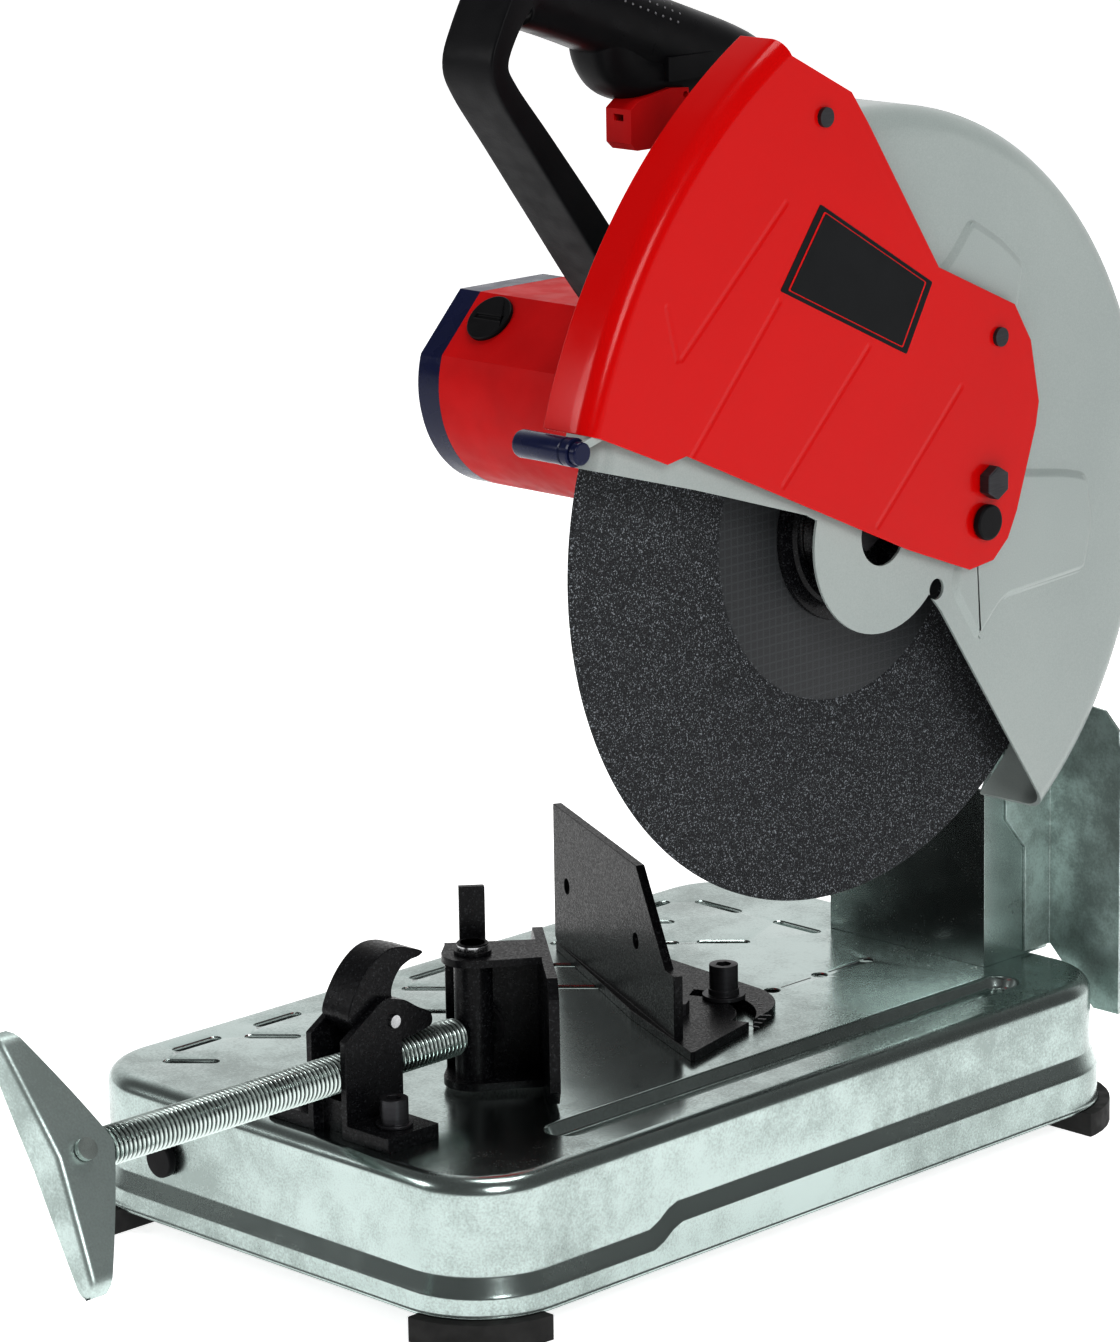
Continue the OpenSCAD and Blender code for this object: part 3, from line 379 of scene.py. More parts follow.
LOOKS = (
    (GALVANISED, ("base_pan",)),
    (BRACKET_SHEET, ("pivot_bracket",)),
    (GUARD_SHEET, ("spark_guard",)),
    (RUBBER, ("base_feet", "cord_gland")),
    (BLACK_PLASTIC, ("base_plug", "brush_caps", "brushes", "handle_left", "handle_right", "switch_body",
                     "hood_pivot", "knob_tab", "fan")),
    (OXIDE, ("bracket_screws", "depth_stop", "nut_bracket_bolts", "fence_pivot_bolt", "fence_lock_bolt",
             "screw_end_bolt", "housing_screws", "guard_bolts", "hood_bolt", "hood_screws",
             "arbor_bolt")),
    (BRIGHT, ("pivot_shaft", "lever_pin", "ball_bearings", "spindle", "spindle_gear", "motor_pinion")),
    (ZINC, ("pivot_nuts", "vise_screw", "handle_rivet")),
    (SPRING, ("return_spring", "trigger_spring", "lock_spring")),
    (BLACK_ENAMEL, ("nut_bracket", "fence_plate", "release_lever", "jaw_post", "jaw_yoke", "jaw_plate")),
    (ZINC_SHEET, ("screw_handle",)),
    (CAST, ("head_arm", "bearing_cover")),
    (RED_MOTOR, ("motor_housing", "trigger", "lock_button")),
    (NAVY, ("motor_end_cap", "lift_knob")),
    (LAMINATION, ("stator",)),
    (GREY, ("guard_shell", "guard_back")),
    (RED_HOOD, ("hood",)),
    (LABEL_BLACK, ("label_plate",)),
    (BLACK_GLOSS, ("inner_flange", "outer_flange")),
    (GRIT, ("cutting_disc",)),
    (COPPER, ("armature",)),
)
NODE_LOOK = {node: look for look, nodes in LOOKS for node in nodes}
BODY_OF = {n: body for body, nodes in frame["record"]["behaviour"]["bodies"].items() for n in nodes}


def dress(node, material):
    obj = frame["nodes"][node]
    obj.data.materials.clear()
    obj.data.materials.append(material)
    for polygon in obj.data.polygons:
        polygon.material_index = 0


for node_name, look in NODE_LOOK.items():
    dress(node_name, look)


# ------------------------------------------------------------------ mesh helpers
def linked(name, data):
    obj = bpy.data.objects.new(name, data)
    bpy.context.scene.collection.objects.link(obj)
    return obj


def make_piece(name, bm, material, replaced, smooth_angle=35.0, body=None):
    """Turns bm into a piece that rides with the first node it replaces."""
    mesh = bpy.data.meshes.new(name)
    bmesh.ops.recalc_face_normals(bm, faces=bm.faces)
    bm.to_mesh(mesh)
    bm.free()
    obj = linked(name, mesh)
    obj.data.materials.append(material)
    mesh.shade_smooth()
    mesh.set_sharp_from_angle(angle=math.radians(smooth_angle))
    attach(obj, body or BODY_OF[replaced[0]])
    if body is None:
        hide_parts(*replaced)
    return obj


def even_normals(obj):
    weight = obj.modifiers.new("normals", "WEIGHTED_NORMAL")
    weight.keep_sharp = True


def bevel(obj, width, segments=3, angle=32.0):
    mod = obj.modifiers.new("edges", "BEVEL")
    mod.width = width
    mod.segments = segments
    mod.limit_method = "ANGLE"
    mod.angle_limit = math.radians(angle)
    even_normals(obj)


def soften(node, width):
    """A copy of the node with its edges really rounded, shown in the node's place."""
    weld, flat_angle = 2e-6, math.radians(1.2)
    bm = bmesh.new()
    bm.from_mesh(frame["nodes"][node].data)
    bmesh.ops.remove_doubles(bm, verts=bm.verts, dist=weld)
    bmesh.ops.dissolve_limit(bm, angle_limit=flat_angle, verts=bm.verts, edges=bm.edges)
    bevel(make_piece(node + "_soft", bm, NODE_LOOK[node], [node]), width)


def ring_of(bm, points):
    return [bm.verts.new(p) for p in points]


def skin(bm, rings, caps=True):
    """Quads between rings of equal length; caps fills the end rings."""
    for a, b in zip(rings, rings[1:]):
        count = len(a)
        for i in range(count):
            bm.faces.new((a[i], a[(i + 1) % count], b[(i + 1) % count], b[i]))
    if caps:
        bm.faces.new(rings[0])
        bm.faces.new(list(reversed(rings[-1])))


def lathe_x(bm, centre, profile, steps=96):
    """Turns (x, radius) points about the line through centre along X, closing the loop."""
    rings = []
    for x, r in profile:
        ring = [Vector((x, centre.y + r * math.cos(t), centre.z + r * math.sin(t)))
                for t in (2 * math.pi * i / steps for i in range(steps))]
        rings.append(ring_of(bm, ring))
    rings.append(rings[0])
    skin(bm, rings, caps=False)


def rounded(points, radius, steps=5):
    """The closed outline with each corner turned into an arc of about that radius."""
    side_share = 0.45
    out = []
    count = len(points)
    for i, point in enumerate(points):
        here = Vector(point)
        before = Vector(points[i - 1]) - here
        after = Vector(points[(i + 1) % count]) - here
        cut = min(radius, before.length * side_share, after.length * side_share)
        a = here + before.normalized() * cut
        b = here + after.normalized() * cut
        for k in range(steps + 1):
            t = k / steps
            out.append(a * (1 - t) ** 2 + here * 2 * t * (1 - t) + b * t ** 2)
    return out


def plate_x(bm, outline, x0, x1):
    """A flat plate between x0 and x1 with the (y, z) outline."""
    low = ring_of(bm, [Vector((x0, p[0], p[1])) for p in outline])
    high = ring_of(bm, [Vector((x1, p[0], p[1])) for p in outline])
    skin(bm, [low, high])


def super_ring(centre, across, side, half_w, half_h, power, steps=32):
    """A rounded-rectangle section: power 2 is an ellipse, more is squarer."""
    ring = []
    for i in range(steps):
        t = 2 * math.pi * i / steps
        c, s = math.cos(t), math.sin(t)
        a = math.copysign(abs(c) ** (2 / power), c) * half_w
        b = math.copysign(abs(s) ** (2 / power), s) * half_h
        ring.append(centre + across * a + side * b)
    return ring


def spline(stations, steps):
    """Smooth values through rows of numbers (Catmull-Rom), for lofts."""
    rows = [stations[0], *stations, stations[-1]]
    out = []
    for i in range(1, len(rows) - 2):
        for k in range(steps):
            t = k / steps
            p0, p1, p2, p3 = rows[i - 1], rows[i], rows[i + 1], rows[i + 2]
            out.append([0.5 * (2 * b + (c - a) * t + (2 * a - 5 * b + 4 * c - d) * t * t
                               + (3 * b - a - 3 * c + d) * t ** 3)
                        for a, b, c, d in zip(p0, p1, p2, p3)])
    out.append(list(stations[-1]))
    return out


def loft_yz(bm, x, stations, power, steps=6):
    """A bar along (y, z, half width, half height) stations, in the plane at x."""
    rows = spline(stations, steps)
    rings = []
    for i, (y, z, half_w, half_h) in enumerate(rows):
        ahead = rows[min(i + 1, len(rows) - 1)]
        behind = rows[max(i - 1, 0)]
        run = Vector((0.0, ahead[0] - behind[0], ahead[1] - behind[1])).normalized()
        side = Vector((0.0, -run.z, run.y))
        rings.append(ring_of(bm, super_ring(Vector((x, y, z)), Vector((1, 0, 0)), side,
                                            half_w, half_h, power)))
    skin(bm, rings)


# ------------------------------------------------------------------ pressed base
def corner_path(half_w, half_l, radius, run=0.006, corner_steps=12):
    """Closed (x, y, nx, ny) rows round a rounded rectangle, with its outward normals."""
    rows = []
    corners = ((1, 1, 0.0), (-1, 1, 90.0), (-1, -1, 180.0), (1, -1, 270.0))
    for i, (sx, sy, start) in enumerate(corners):
        cx, cy = sx * (half_w - radius), sy * (half_l - radius)
        for k in range(corner_steps + 1):
            a = math.radians(start + 90.0 * k / corner_steps)
            rows.append((cx + radius * math.cos(a), cy + radius * math.sin(a), math.cos(a), math.sin(a)))
        after = corners[(i + 1) % 4]
        x0, y0, nx, ny = rows[-1]
        x1 = after[0] * (half_w - radius) + radius * nx
        y1 = after[1] * (half_l - radius) + radius * ny
        count = max(2, int(math.hypot(x1 - x0, y1 - y0) / run))
        rows += [(x0 + (x1 - x0) * k / count, y0 + (y1 - y0) * k / count, nx, ny)
                 for k in range(1, count)]
    return rows


def slot_loop(x, y, turn, length, width):
    """Outline of a slot that starts at (x, y) and runs at an angle."""
    along = Vector((math.cos(turn), math.sin(turn)))
    points = []
    for end, start in ((length, -90.0), (0.0, 90.0)):
        for k in range(7):
            a = turn + math.radians(start + 180.0 * k / 6)
            points.append(Vector((x, y)) + along * end + Vector((math.cos(a), math.sin(a))) * width / 2)
    return points


def circle_loop(x, y, radius, steps=24):
    return [Vector((x + radius * math.cos(a), y + radius * math.sin(a)))
            for a in (2 * math.pi * k / steps for k in range(steps))]


def top_openings():
    """Outlines of the drain slots and holes through the top sheet."""
    first, step, width, rows = -0.190, 0.0516, 0.0065, 7
    rear_y, rear_length, bolt_r = 0.171, 0.025, 0.00425
    slant, lengthwise = math.radians(42.0), math.radians(90.0)
    # x, shift in y, angle and length of each column of slots, and its first and last row
    columns = ((-0.105, 0.0, slant, 0.021, 0, 6), (-0.1155, 0.015, lengthwise, 0.023, 0, 6),
               (-0.079, 0.025, slant, 0.023, 1, 5), (-0.052, 0.0, slant, 0.021, 1, 6))
    loops = []
    for i in range(rows):
        for x, shift, turn, length, begin, end in columns:
            if begin <= i <= end:
                loops.append(slot_loop(x, first + i * step + shift, turn, length, width))
    for x in (-0.102, -0.047):
        loops.append(slot_loop(x, rear_y, 0.0, rear_length, width))
    for i in range(5):
        loops.append(circle_loop(FENCE_PIVOT.x, FENCE_PIVOT.y + i * HOLE_STEP, bolt_r))
    return loops


def ease(t):
    """Runs smoothly from 0 to 1, level at both ends."""
    t = min(1.0, max(0.0, t))
    return t * t * (3 - 2 * t)


def inside(point, loop):
    """Whether a point of the XY plane lies within the loop."""
    odd = False
    for i, a in enumerate(loop):
        b = loop[i - 1]
        if (a.y > point.y) != (b.y > point.y):
            if point.x < a.x + (point.y - a.y) * (b.x - a.x) / (b.y - a.y):
                odd = not odd
    return odd


def fill_flat(bm, loops):
    """Triangles between the first loop of verts, the outer one, and the others, the holes."""
    verts = [v for loop in loops for v in loop]
    edges, first = [], 0
    for loop in loops:
        edges += [(first + i, first + (i + 1) % len(loop)) for i in range(len(loop))]
        first += len(loop)
    flat = [v.co.to_2d() for v in verts]
    holes = [[v.co for v in loop] for loop in loops[1:]]
    _, _, triangles, origin, _, _ = delaunay_2d_cdt(flat, edges, [], 1, 1e-6)
    for triangle in triangles:
        corners = [verts[origin[i][0]] for i in triangle]
        middle = sum((v.co for v in corners), Vector()) / 3
        if not any(inside(middle, hole) for hole in holes):
            bm.faces.new(corners)


def pressed_base():
    """Drawn sheet: lipped skirt, step that jogs up the sides, rolled edge, slotted and grooved top."""
    half_w, half_l, radius = BASE_HIGH.x, BASE_HIGH.y, 0.044
    floor_z, top_z, step_in, roll = BASE_LOW.z, BASE_HIGH.z, 0.0037, 0.008
    jog_from, jog_to, jog_rise, step_height = -0.116, -0.097, 0.0090, 0.0105
    sheet, lip_out = 0.0016, 0.0010
    half_w, half_l = half_w - lip_out, half_l - lip_out
    bm = bmesh.new()
    rings = []
    rows = corner_path(half_w, half_l, radius)
    for x, y, nx, ny in rows:
        z0 = floor_z + step_height + jog_rise * ease((y - jog_from) / (jog_to - jog_from))
        section = [(-lip_out, floor_z), (-lip_out * 0.4, floor_z + 0.0010), (0.0, floor_z + 0.0024),
                   (0.0, z0 - 0.0020), (0.0004, z0 - 0.0006), (0.0012, z0 + 0.0008),
                   (step_in - 0.0010, z0 + 0.0058), (step_in - 0.0003, z0 + 0.0072), (step_in, z0 + 0.0086),
                   (step_in + 0.0003, z0 + 0.0150), (step_in, top_z - roll - 0.004)]
        for k in range(9):
            a = math.pi / 2 * k / 8
            section.append((step_in + roll - roll * math.cos(a), top_z - roll + roll * math.sin(a)))
        rings.append(ring_of(bm, [Vector((x - nx * d, y - ny * d, z)) for d, z in section]))
    for i, ring in enumerate(rings):
        after = rings[(i + 1) % len(rings)]
        for k in range(len(ring) - 1):
            bm.faces.new((ring[k], after[k], after[k + 1], ring[k + 1]))
    groove = groove_rings(bm, top_z)
    loops = [[ring[-1] for ring in rings], groove]
    loops += [[bm.verts.new((p.x, p.y, top_z)) for p in loop] for loop in top_openings()]
    fill_flat(bm, loops)
    base = make_piece("base_pressed", bm, GALVANISED, ["base_pan"], 60.0)
    solid = base.modifiers.new("sheet", "SOLIDIFY")
    solid.thickness = sheet
    solid.offset = -1.0
    solid.use_even_offset = True
    even_normals(base)


def groove_rings(bm, top_z):
    """Trough under the disc: soft shoulders, sloping walls, rounded ends."""
    deep, mid_x, front, rear = 0.0058, DISC_X + 0.0025, -0.1440, 0.1780
    half, hole_x, hole_y, hole_r = 0.0112, 0.105, 0.145, 0.003
    rings = []
    section = [(0.0, 0.0), (0.0010, 0.0004), (0.0022, 0.0016), (0.0036, 0.0042), (0.0046, 0.0054),
               (0.0060, deep)]
    for inset, drop in section:
        width = half - inset
        ring = []
        for end, start in ((rear, 0.0), (front, 180.0)):
            sign = 1 if end == rear else -1
            cy = end - sign * half
            for k in range(13):
                a = math.radians(start + 180.0 * k / 12)
                ring.append(Vector((mid_x + width * math.cos(a), cy + width * math.sin(a), top_z - drop)))
        rings.append(ring_of(bm, ring))
    for a, b in zip(rings, rings[1:]):
        for i in range(len(a)):
            j = (i + 1) % len(a)
            bm.faces.new((a[i], a[j], b[j], b[i]))
    hole = [bm.verts.new((p.x, p.y, top_z - deep)) for p in circle_loop(hole_x, hole_y, hole_r)]
    fill_flat(bm, [rings[-1], hole])
    return rings[0]


def scribed_line():
    """Dark line scribed through the row of fence holes, broken at each hole."""
    bm = bmesh.new()
    z, half, gap, raised = BASE_HIGH.z, 0.0004, 0.0065, 0.00006
    for i in range(1, 4):
        y0 = FENCE_PIVOT.y + i * HOLE_STEP + gap
        y1 = y0 + HOLE_STEP - 2 * gap
        low = [Vector((FENCE_PIVOT.x - half, y0, z)), Vector((FENCE_PIVOT.x + half, y0, z)),
               Vector((FENCE_PIVOT.x + half, y1, z)), Vector((FENCE_PIVOT.x - half, y1, z))]
        high = [p + Vector((0.0, 0.0, raised)) for p in low]
        skin(bm, [ring_of(bm, low), ring_of(bm, high)])
    line = make_piece("scribed_line", bm, OXIDE, [], body="stand")


pressed_base()
scribed_line()


# ------------------------------------------------------------------ vise screw and handle
def threaded_screw():
    """Coarse vise thread between a plain front and a neck that holds the jaw."""
    low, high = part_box("vise_screw")
    centre = Vector(((low.x + high.x) / 2, 0.0, (low.z + high.z) / 2))
    r_out = (high.x - low.x) / 2
    pitch, depth, end_drop, steps, per_pitch = 0.0025, 0.0014, 0.0012, 40, 8
    r_plain, r_neck, chamfer = 0.0062, 0.005, 0.001
    plain_front, neck = low.y + 0.012, high.y - 0.0225
    bm = bmesh.new()
    rings = []

    def add(y, r):
        ring = []
        for i in range(steps):
            t = 2 * math.pi * i / steps
            here = r(t) if callable(r) else r
            ring.append(centre + Vector((here * math.cos(t), y, here * math.sin(t))))
        rings.append(ring_of(bm, ring))

    add(low.y, r_plain - chamfer)
    add(low.y + chamfer, r_plain)
    add(plain_front, r_plain)
    count = int((neck - plain_front) / pitch * per_pitch)
    for k in range(count + 1):
        y = plain_front + (neck - plain_front) * k / count
        full = min(1.0, k / per_pitch, (count - k) / per_pitch)

        def crest(t, y=y, full=full):
            wave = 0.5 + 0.5 * math.cos(2 * math.pi * (y / pitch) + t)
            return r_out - depth * full * wave - end_drop * (1 - full)

        add(y, crest)
    add(neck + 0.0002, r_neck)
    add(high.y - 0.0006, r_neck)
    add(high.y, r_neck - 0.0006)
    skin(bm, rings)
    make_piece("vise_screw_thread", bm, ZINC_THREAD, ["vise_screw"])


def wing_handle():
    """One stamped channel bent back at the middle, its flanges deepest at the hub."""
    hub = Vector((JAW_POST.x, 0.0, JAW_POST.z))
    rivet_low, rivet_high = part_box("handle_rivet")
    hub.y = (rivet_low.y + rivet_high.y) / 2
    tilt = Matrix.Rotation(math.radians(-30.5), 4, "Y")
    length, sheet, round_r, samples = 0.0605, 0.0022, 0.003, 48
    round_from, round_run = 0.9, 0.105
    bm = bmesh.new()
    rings = []
    for k in range(samples + 1):
        t = -1 + 2 * k / samples
        far = abs(t)
        taper = far ** 1.15
        half_w = 0.0105 - 0.0045 * taper
        if far > round_from:
            half_w *= math.sqrt(max(0.05, 1 - ((far - round_from) / round_run) ** 2))
        web_y = -0.0144 - 0.0044 * far
        depth = 0.0315 * (1 - taper) + 0.0095 * taper
        outer = [(-half_w, depth), (-half_w, round_r)]
        outer += [(-half_w + round_r * (1 - math.cos(a)), round_r * (1 - math.sin(a)))
                  for a in (0.4, 0.8, 1.2)]
        outer += [(-half_w + round_r, 0.0)]
        half = outer[:]
        outer += [(-x, y) for x, y in reversed(half)]
        inner = [(x * (half_w - sheet) / half_w, max(y, sheet) if y < depth - 1e-6 else y)
                 for x, y in reversed(outer)]
        ring = []
        for x, y in outer + inner:
            ring.append(hub + tilt @ Vector((x, web_y + y, t * length)))
        rings.append(ring_of(bm, ring))
    skin(bm, rings)
    bevel(make_piece("wing_handle", bm, ZINC_SHEET, ["screw_handle"], 50.0), 0.0005, 2)


def smooth_loop(points, steps=6):
    """A closed smooth outline through the points."""
    count = len(points)
    out = []
    for i in range(count):
        p0, p1, p2, p3 = (Vector(points[(i + k - 1) % count]) for k in range(4))
        for k in range(steps):
            t = k / steps
            out.append(0.5 * (2 * p1 + (p2 - p0) * t + (2 * p0 - 5 * p1 + 4 * p2 - p3) * t * t
                              + (3 * p1 - p0 - 3 * p2 + p3) * t ** 3))
    return out


def cast_lever():
    """Release lever: a curved, tapering thumb piece over a round nose at the pin."""
    low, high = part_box("release_lever")
    y, z = LEVER_PIN.y, LEVER_PIN.z
    outline = [(-0.0236, 0.0050), (-0.0215, 0.0125), (-0.0160, 0.0210), (-0.0100, 0.0270), (-0.0035, 0.0310),
               (0.0030, 0.0325), (0.0100, 0.0318), (0.0160, 0.0298), (0.0226, 0.0270), (0.0205, 0.0252),
               (0.0150, 0.0246), (0.0095, 0.0225), (0.0055, 0.0185), (0.0030, 0.0130), (0.0040, 0.0085),
               (0.0110, 0.0065), (0.0190, 0.0015), (0.0268, -0.0030), (0.0274, -0.0085), (0.0210, -0.0105),
               (0.0100, -0.0118), (-0.0030, -0.0118), (-0.0110, -0.0070), (-0.0180, -0.0010)]
    bm = bmesh.new()
    plate_x(bm, [(y + p.x, z + p.y) for p in smooth_loop(outline)], low.x, high.x)
    bevel(make_piece("release_lever_cast", bm, BLACK_ENAMEL, ["release_lever"], 50.0), 0.0014, 4, 50.0)


def fence_scale():
    """Fine tick marks along the outer edge of the fence's arc slot."""
    foot_thick, half_w, height, sunk = 0.0045, 0.0003, 0.0003, 0.0002
    start, step, ticks_count = 14.0, 8.0, 13
    r0, r_short, r_long = 0.0410, 0.0450, 0.0465
    top = BASE_HIGH.z + foot_thick
    bm = bmesh.new()
    for i in range(ticks_count):
        a = math.radians(start + step * i)
        along = Vector((math.cos(a), math.sin(a), 0.0))
        across = Vector((-along.y, along.x, 0.0)) * half_w
        r1 = r_short if i % 3 else r_long
        low = [FENCE_PIVOT.xy.to_3d() + p for p in (along * r0 - across, along * r1 - across,
                                                    along * r1 + across, along * r0 + across)]
        low = [Vector((p.x, p.y, top - sunk)) for p in low]
        high = [p + Vector((0.0, 0.0, height)) for p in low]
        skin(bm, [ring_of(bm, low), ring_of(bm, high)])
    ticks = make_piece("fence_scale", bm, GRIP_DOT, [], 40.0, body=BODY_OF["fence_plate"])


def jaw_pin_head():
    """Bright turned head of the pin through the jaw post, over its washer."""
    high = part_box("jaw_post")[1].z
    centre = Vector((JAW_POST.x, JAW_POST.y, 0.0))
    profile = [(0.0001, high - 0.0036), (0.0070, high - 0.0036), (0.0073, high - 0.0030),
               (0.0073, high - 0.0008), (0.0067, high - 0.0002), (0.0058, high), (0.0001, high)]
    bm = bmesh.new()
    rings = []
    for r, z in profile:
        rings.append(ring_of(bm, [centre + Vector((r * math.cos(a), r * math.sin(a), z))
                                  for a in (2 * math.pi * i / 48 for i in range(48))]))
    skin(bm, rings)
    make_piece("jaw_pin_head", bm, BRIGHT, [], 40.0, body=BODY_OF["jaw_post"])


threaded_screw()
wing_handle()
cast_lever()
fence_scale()
jaw_pin_head()


# ------------------------------------------------------------------ closed handle
def grip_dots(x, ends):
    """Two panels of small raised dots on each flank of the grip."""
    start, end = (Vector(p) for p in ends)
    run = (end - start).normalized()
    up = Vector((-run.y, run.x))
    if up.y < 0:
        up = -up
    half_w, half_h, power, r = 0.0178, 0.0178, 2.6, 0.0007
    pitch, stagger, first_angle, row_angle = 0.0052, 0.0018, 20.0, 17.0
    bm = bmesh.new()
    for first, count in ((-0.012, 4), (0.022, 9)):
        for row in range(3):
            a = math.radians(first_angle + row_angle * row)
            across = math.copysign(abs(math.cos(a)) ** (2 / power), math.cos(a)) * half_w
            high = abs(math.sin(a)) ** (2 / power) * half_h
            for i in range(count):
                along = start + run * (first + pitch * i + stagger * row) + up * high
                for side in (-1, 1):
                    place = Matrix.Translation(Vector((x + side * across, along.x, along.y)))
                    bmesh.ops.create_icosphere(bm, subdivisions=1, radius=r, matrix=place)
    # The dots are drawn in the lighter grey, a painted highlight.
    dots = make_piece("grip_dots", bm, GRIP_DOT, [], 60.0, body="head")


def closed_handle():
    """Smooth two-part handle: bar in front, grip on top, strut down to the gear case."""
    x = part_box("handle_right")[0].x
    y0, top = MOTOR.y, MOTOR.z + 0.044
    bm = bmesh.new()
    half_w, nearly_square, soft_square, round_grip, round_bulb = 0.0163, 14.0, 5.0, 2.6, 2.8
    bar = [(y0 - 0.0270, top - 0.004, half_w, 0.0105), (y0 - 0.0520, top + 0.0185, half_w, 0.0085),
           (y0 - 0.0830, top + 0.0575, half_w, 0.0078), (y0 - 0.1100, top + 0.0915, half_w, 0.0068),
           (y0 - 0.1300, top + 0.1165, half_w, 0.0060), (y0 - 0.1352, top + 0.1290, half_w, 0.0056),
           (y0 - 0.1290, top + 0.1440, half_w, 0.0058), (y0 - 0.1180, top + 0.1600, half_w, 0.0075)]
    loft_yz(bm, x, bar, nearly_square)
    strut = [(y0 + 0.018, top - 0.006, half_w, 0.030), (y0 + 0.022, top + 0.030, half_w, 0.024),
             (y0 + 0.030, top + 0.075, half_w, 0.021), (y0 + 0.034, top + 0.108, half_w, 0.023)]
    loft_yz(bm, x, strut, soft_square)
    root = [(y0 - 0.040, top - 0.003, half_w, 0.0060), (y0 - 0.010, top + 0.004, half_w, 0.0085),
            (y0 + 0.030, top + 0.002, half_w, 0.0085)]
    loft_yz(bm, x, root, soft_square)
    make_piece("handle_frame", bm, BLACK_PLASTIC, ["handle_left", "handle_right"], 50.0)
    bm = bmesh.new()
    grip = [(y0 - 0.1215, top + 0.1560, 0.0145, 0.0110), (y0 - 0.1120, top + 0.1600, 0.0172, 0.0165),
            (y0 - 0.0850, top + 0.1530, 0.0178, 0.0178), (y0 - 0.0500, top + 0.1400, 0.0178, 0.0178),
            (y0 - 0.0150, top + 0.1270, 0.0176, 0.0190), (y0 + 0.0250, top + 0.1100, 0.0172, 0.0210),
            (y0 + 0.0440, top + 0.1000, 0.0155, 0.0180)]
    loft_yz(bm, x, grip, round_grip)
    make_piece("grip_sleeve", bm, GRIP, [], 60.0, body="head")
    grip_dots(x, [(y0 - 0.0850, top + 0.1530), (y0 - 0.0150, top + 0.1270)])
    bm = bmesh.new()
    housing = [(y0 - 0.0590, top + 0.1440, 0.0110, 0.0050), (y0 - 0.0570, top + 0.1340, 0.0145, 0.0110),
               (y0 - 0.0510, top + 0.1220, 0.0152, 0.0130), (y0 - 0.0400, top + 0.1150, 0.0155, 0.0125),
               (y0 - 0.0200, top + 0.1135, 0.0155, 0.0115), (y0 + 0.0240, top + 0.1100, 0.0155, 0.0125)]
    loft_yz(bm, x, housing, round_bulb)
    make_piece("trigger_housing", bm, BLACK_PLASTIC, [], 60.0, body="head")


closed_handle()


# ------------------------------------------------------------------ disc and flange
def turned_disc():
    low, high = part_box("cutting_disc")
    r = (high.z - low.z) / 2
    mid = (low.x + high.x) / 2
    half = (high.x - low.x) / 2
    bore = 0.0127
    side = [(bore, half - 0.0002), (0.0815, half - 0.0002), (0.0822, half - 0.0006), (0.0835, half),
            (r - 0.0008, half), (r, half - 0.0007)]
    profile = [(mid + w, radius) for radius, w in side] + [(mid - w, radius) for radius, w in reversed(side)]
    bm = bmesh.new()
    lathe_x(bm, SPIN, profile, 192)
    make_piece("abrasive_disc", bm, GRIT, ["cutting_disc"])


def turned_flange():
    low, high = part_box("outer_flange")
    r = (high.z - low.z) / 2
    x = low.x
    profile = [(x, 0.008), (x, r - 0.0004), (x + 0.0012, r), (x + 0.0026, r - 0.0004),
               (x + 0.0034, r - 0.0030), (x + 0.0036, r - 0.0070), (x + 0.0052, r - 0.0085),
               (x + 0.0055, r - 0.0110), (x + 0.0052, r - 0.0130), (x + 0.0030, r - 0.0150),
               (x + 0.0030, r - 0.0210), (x + 0.0060, r - 0.0240), (high.x, r - 0.0255), (high.x, 0.008)]
    bm = bmesh.new()
    lathe_x(bm, SPIN, profile, 128)
    make_piece("outer_flange_turned", bm, BLACK_GLOSS, ["outer_flange"], 40.0)


turned_disc()
turned_flange()


# ------------------------------------------------------------------ guard
def guard_pads():
    """Two soft raised fields on the flat face of the guard, partly behind the hood."""
    face_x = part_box("guard_shell")[1].x - 0.0012
    spread, slope, height = 0.0035, 0.0050, 0.0023
    upper = [(0.030, 0.060), (0.030, 0.112), (0.047, 0.1216), (0.0608, 0.1377), (0.080, 0.126),
             (0.0968, 0.113), (0.0926, 0.0955), (0.092, 0.060)]
    lower = [(0.060, 0.020), (0.1272, 0.0087), (0.1444, 0.005), (0.149, -0.018), (0.1428, -0.0415),
             (0.087, -0.0437), (0.068, -0.062), (0.050, -0.035)]
    for name, outline in (("guard_pad_upper", upper), ("guard_pad_lower", lower)):
        middle = sum((Vector(p) for p in outline), Vector((0.0, 0.0))) / len(outline)
        wide = []
        for p in outline:
            out = (Vector(p) - middle).normalized()
            wide.append(Vector(p) + out * spread)
        loop = rounded(wide, 0.006, 6)
        bm = bmesh.new()
        rings = []
        for k in range(6):
            t = k / 5
            inset = slope * t
            ring = []
            for i, p in enumerate(loop):
                run = (loop[(i + 1) % len(loop)] - loop[i - 1]).normalized()
                normal = Vector((-run.y, run.x))
                if normal.dot(p - middle) < 0:
                    normal = -normal
                q = p - normal * inset
                ring.append(Vector((face_x - 0.0002 + height * ease(t), SPIN.y + q.x, SPIN.z + q.y)))
            rings.append(ring_of(bm, ring))
        skin(bm, rings)
        pad = make_piece(name, bm, GREY, [], 60.0, body="head")
        even_normals(pad)


def knob():
    """Moulded lift knob: rounded outer end, shallow collar by the tab."""
    low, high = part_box("lift_knob")
    centre = (low + high) / 2
    r = (high.z - low.z) / 2
    hole = 0.0031
    profile = [(low.x, hole), (low.x, r - 0.0016), (low.x + 0.0005, r - 0.0006),
               (low.x + 0.0016, r - 0.0002), (high.x - 0.0060, r - 0.0003), (high.x - 0.0055, r - 0.0010),
               (high.x - 0.0047, r - 0.0010), (high.x - 0.0042, r - 0.0001), (high.x - 0.0006, r),
               (high.x, r - 0.0007), (high.x, 0.0045), (high.x - 0.002, hole)]
    bm = bmesh.new()
    lathe_x(bm, centre, profile, 48)
    make_piece("lift_knob_moulded", bm, NAVY, ["lift_knob"], 40.0)


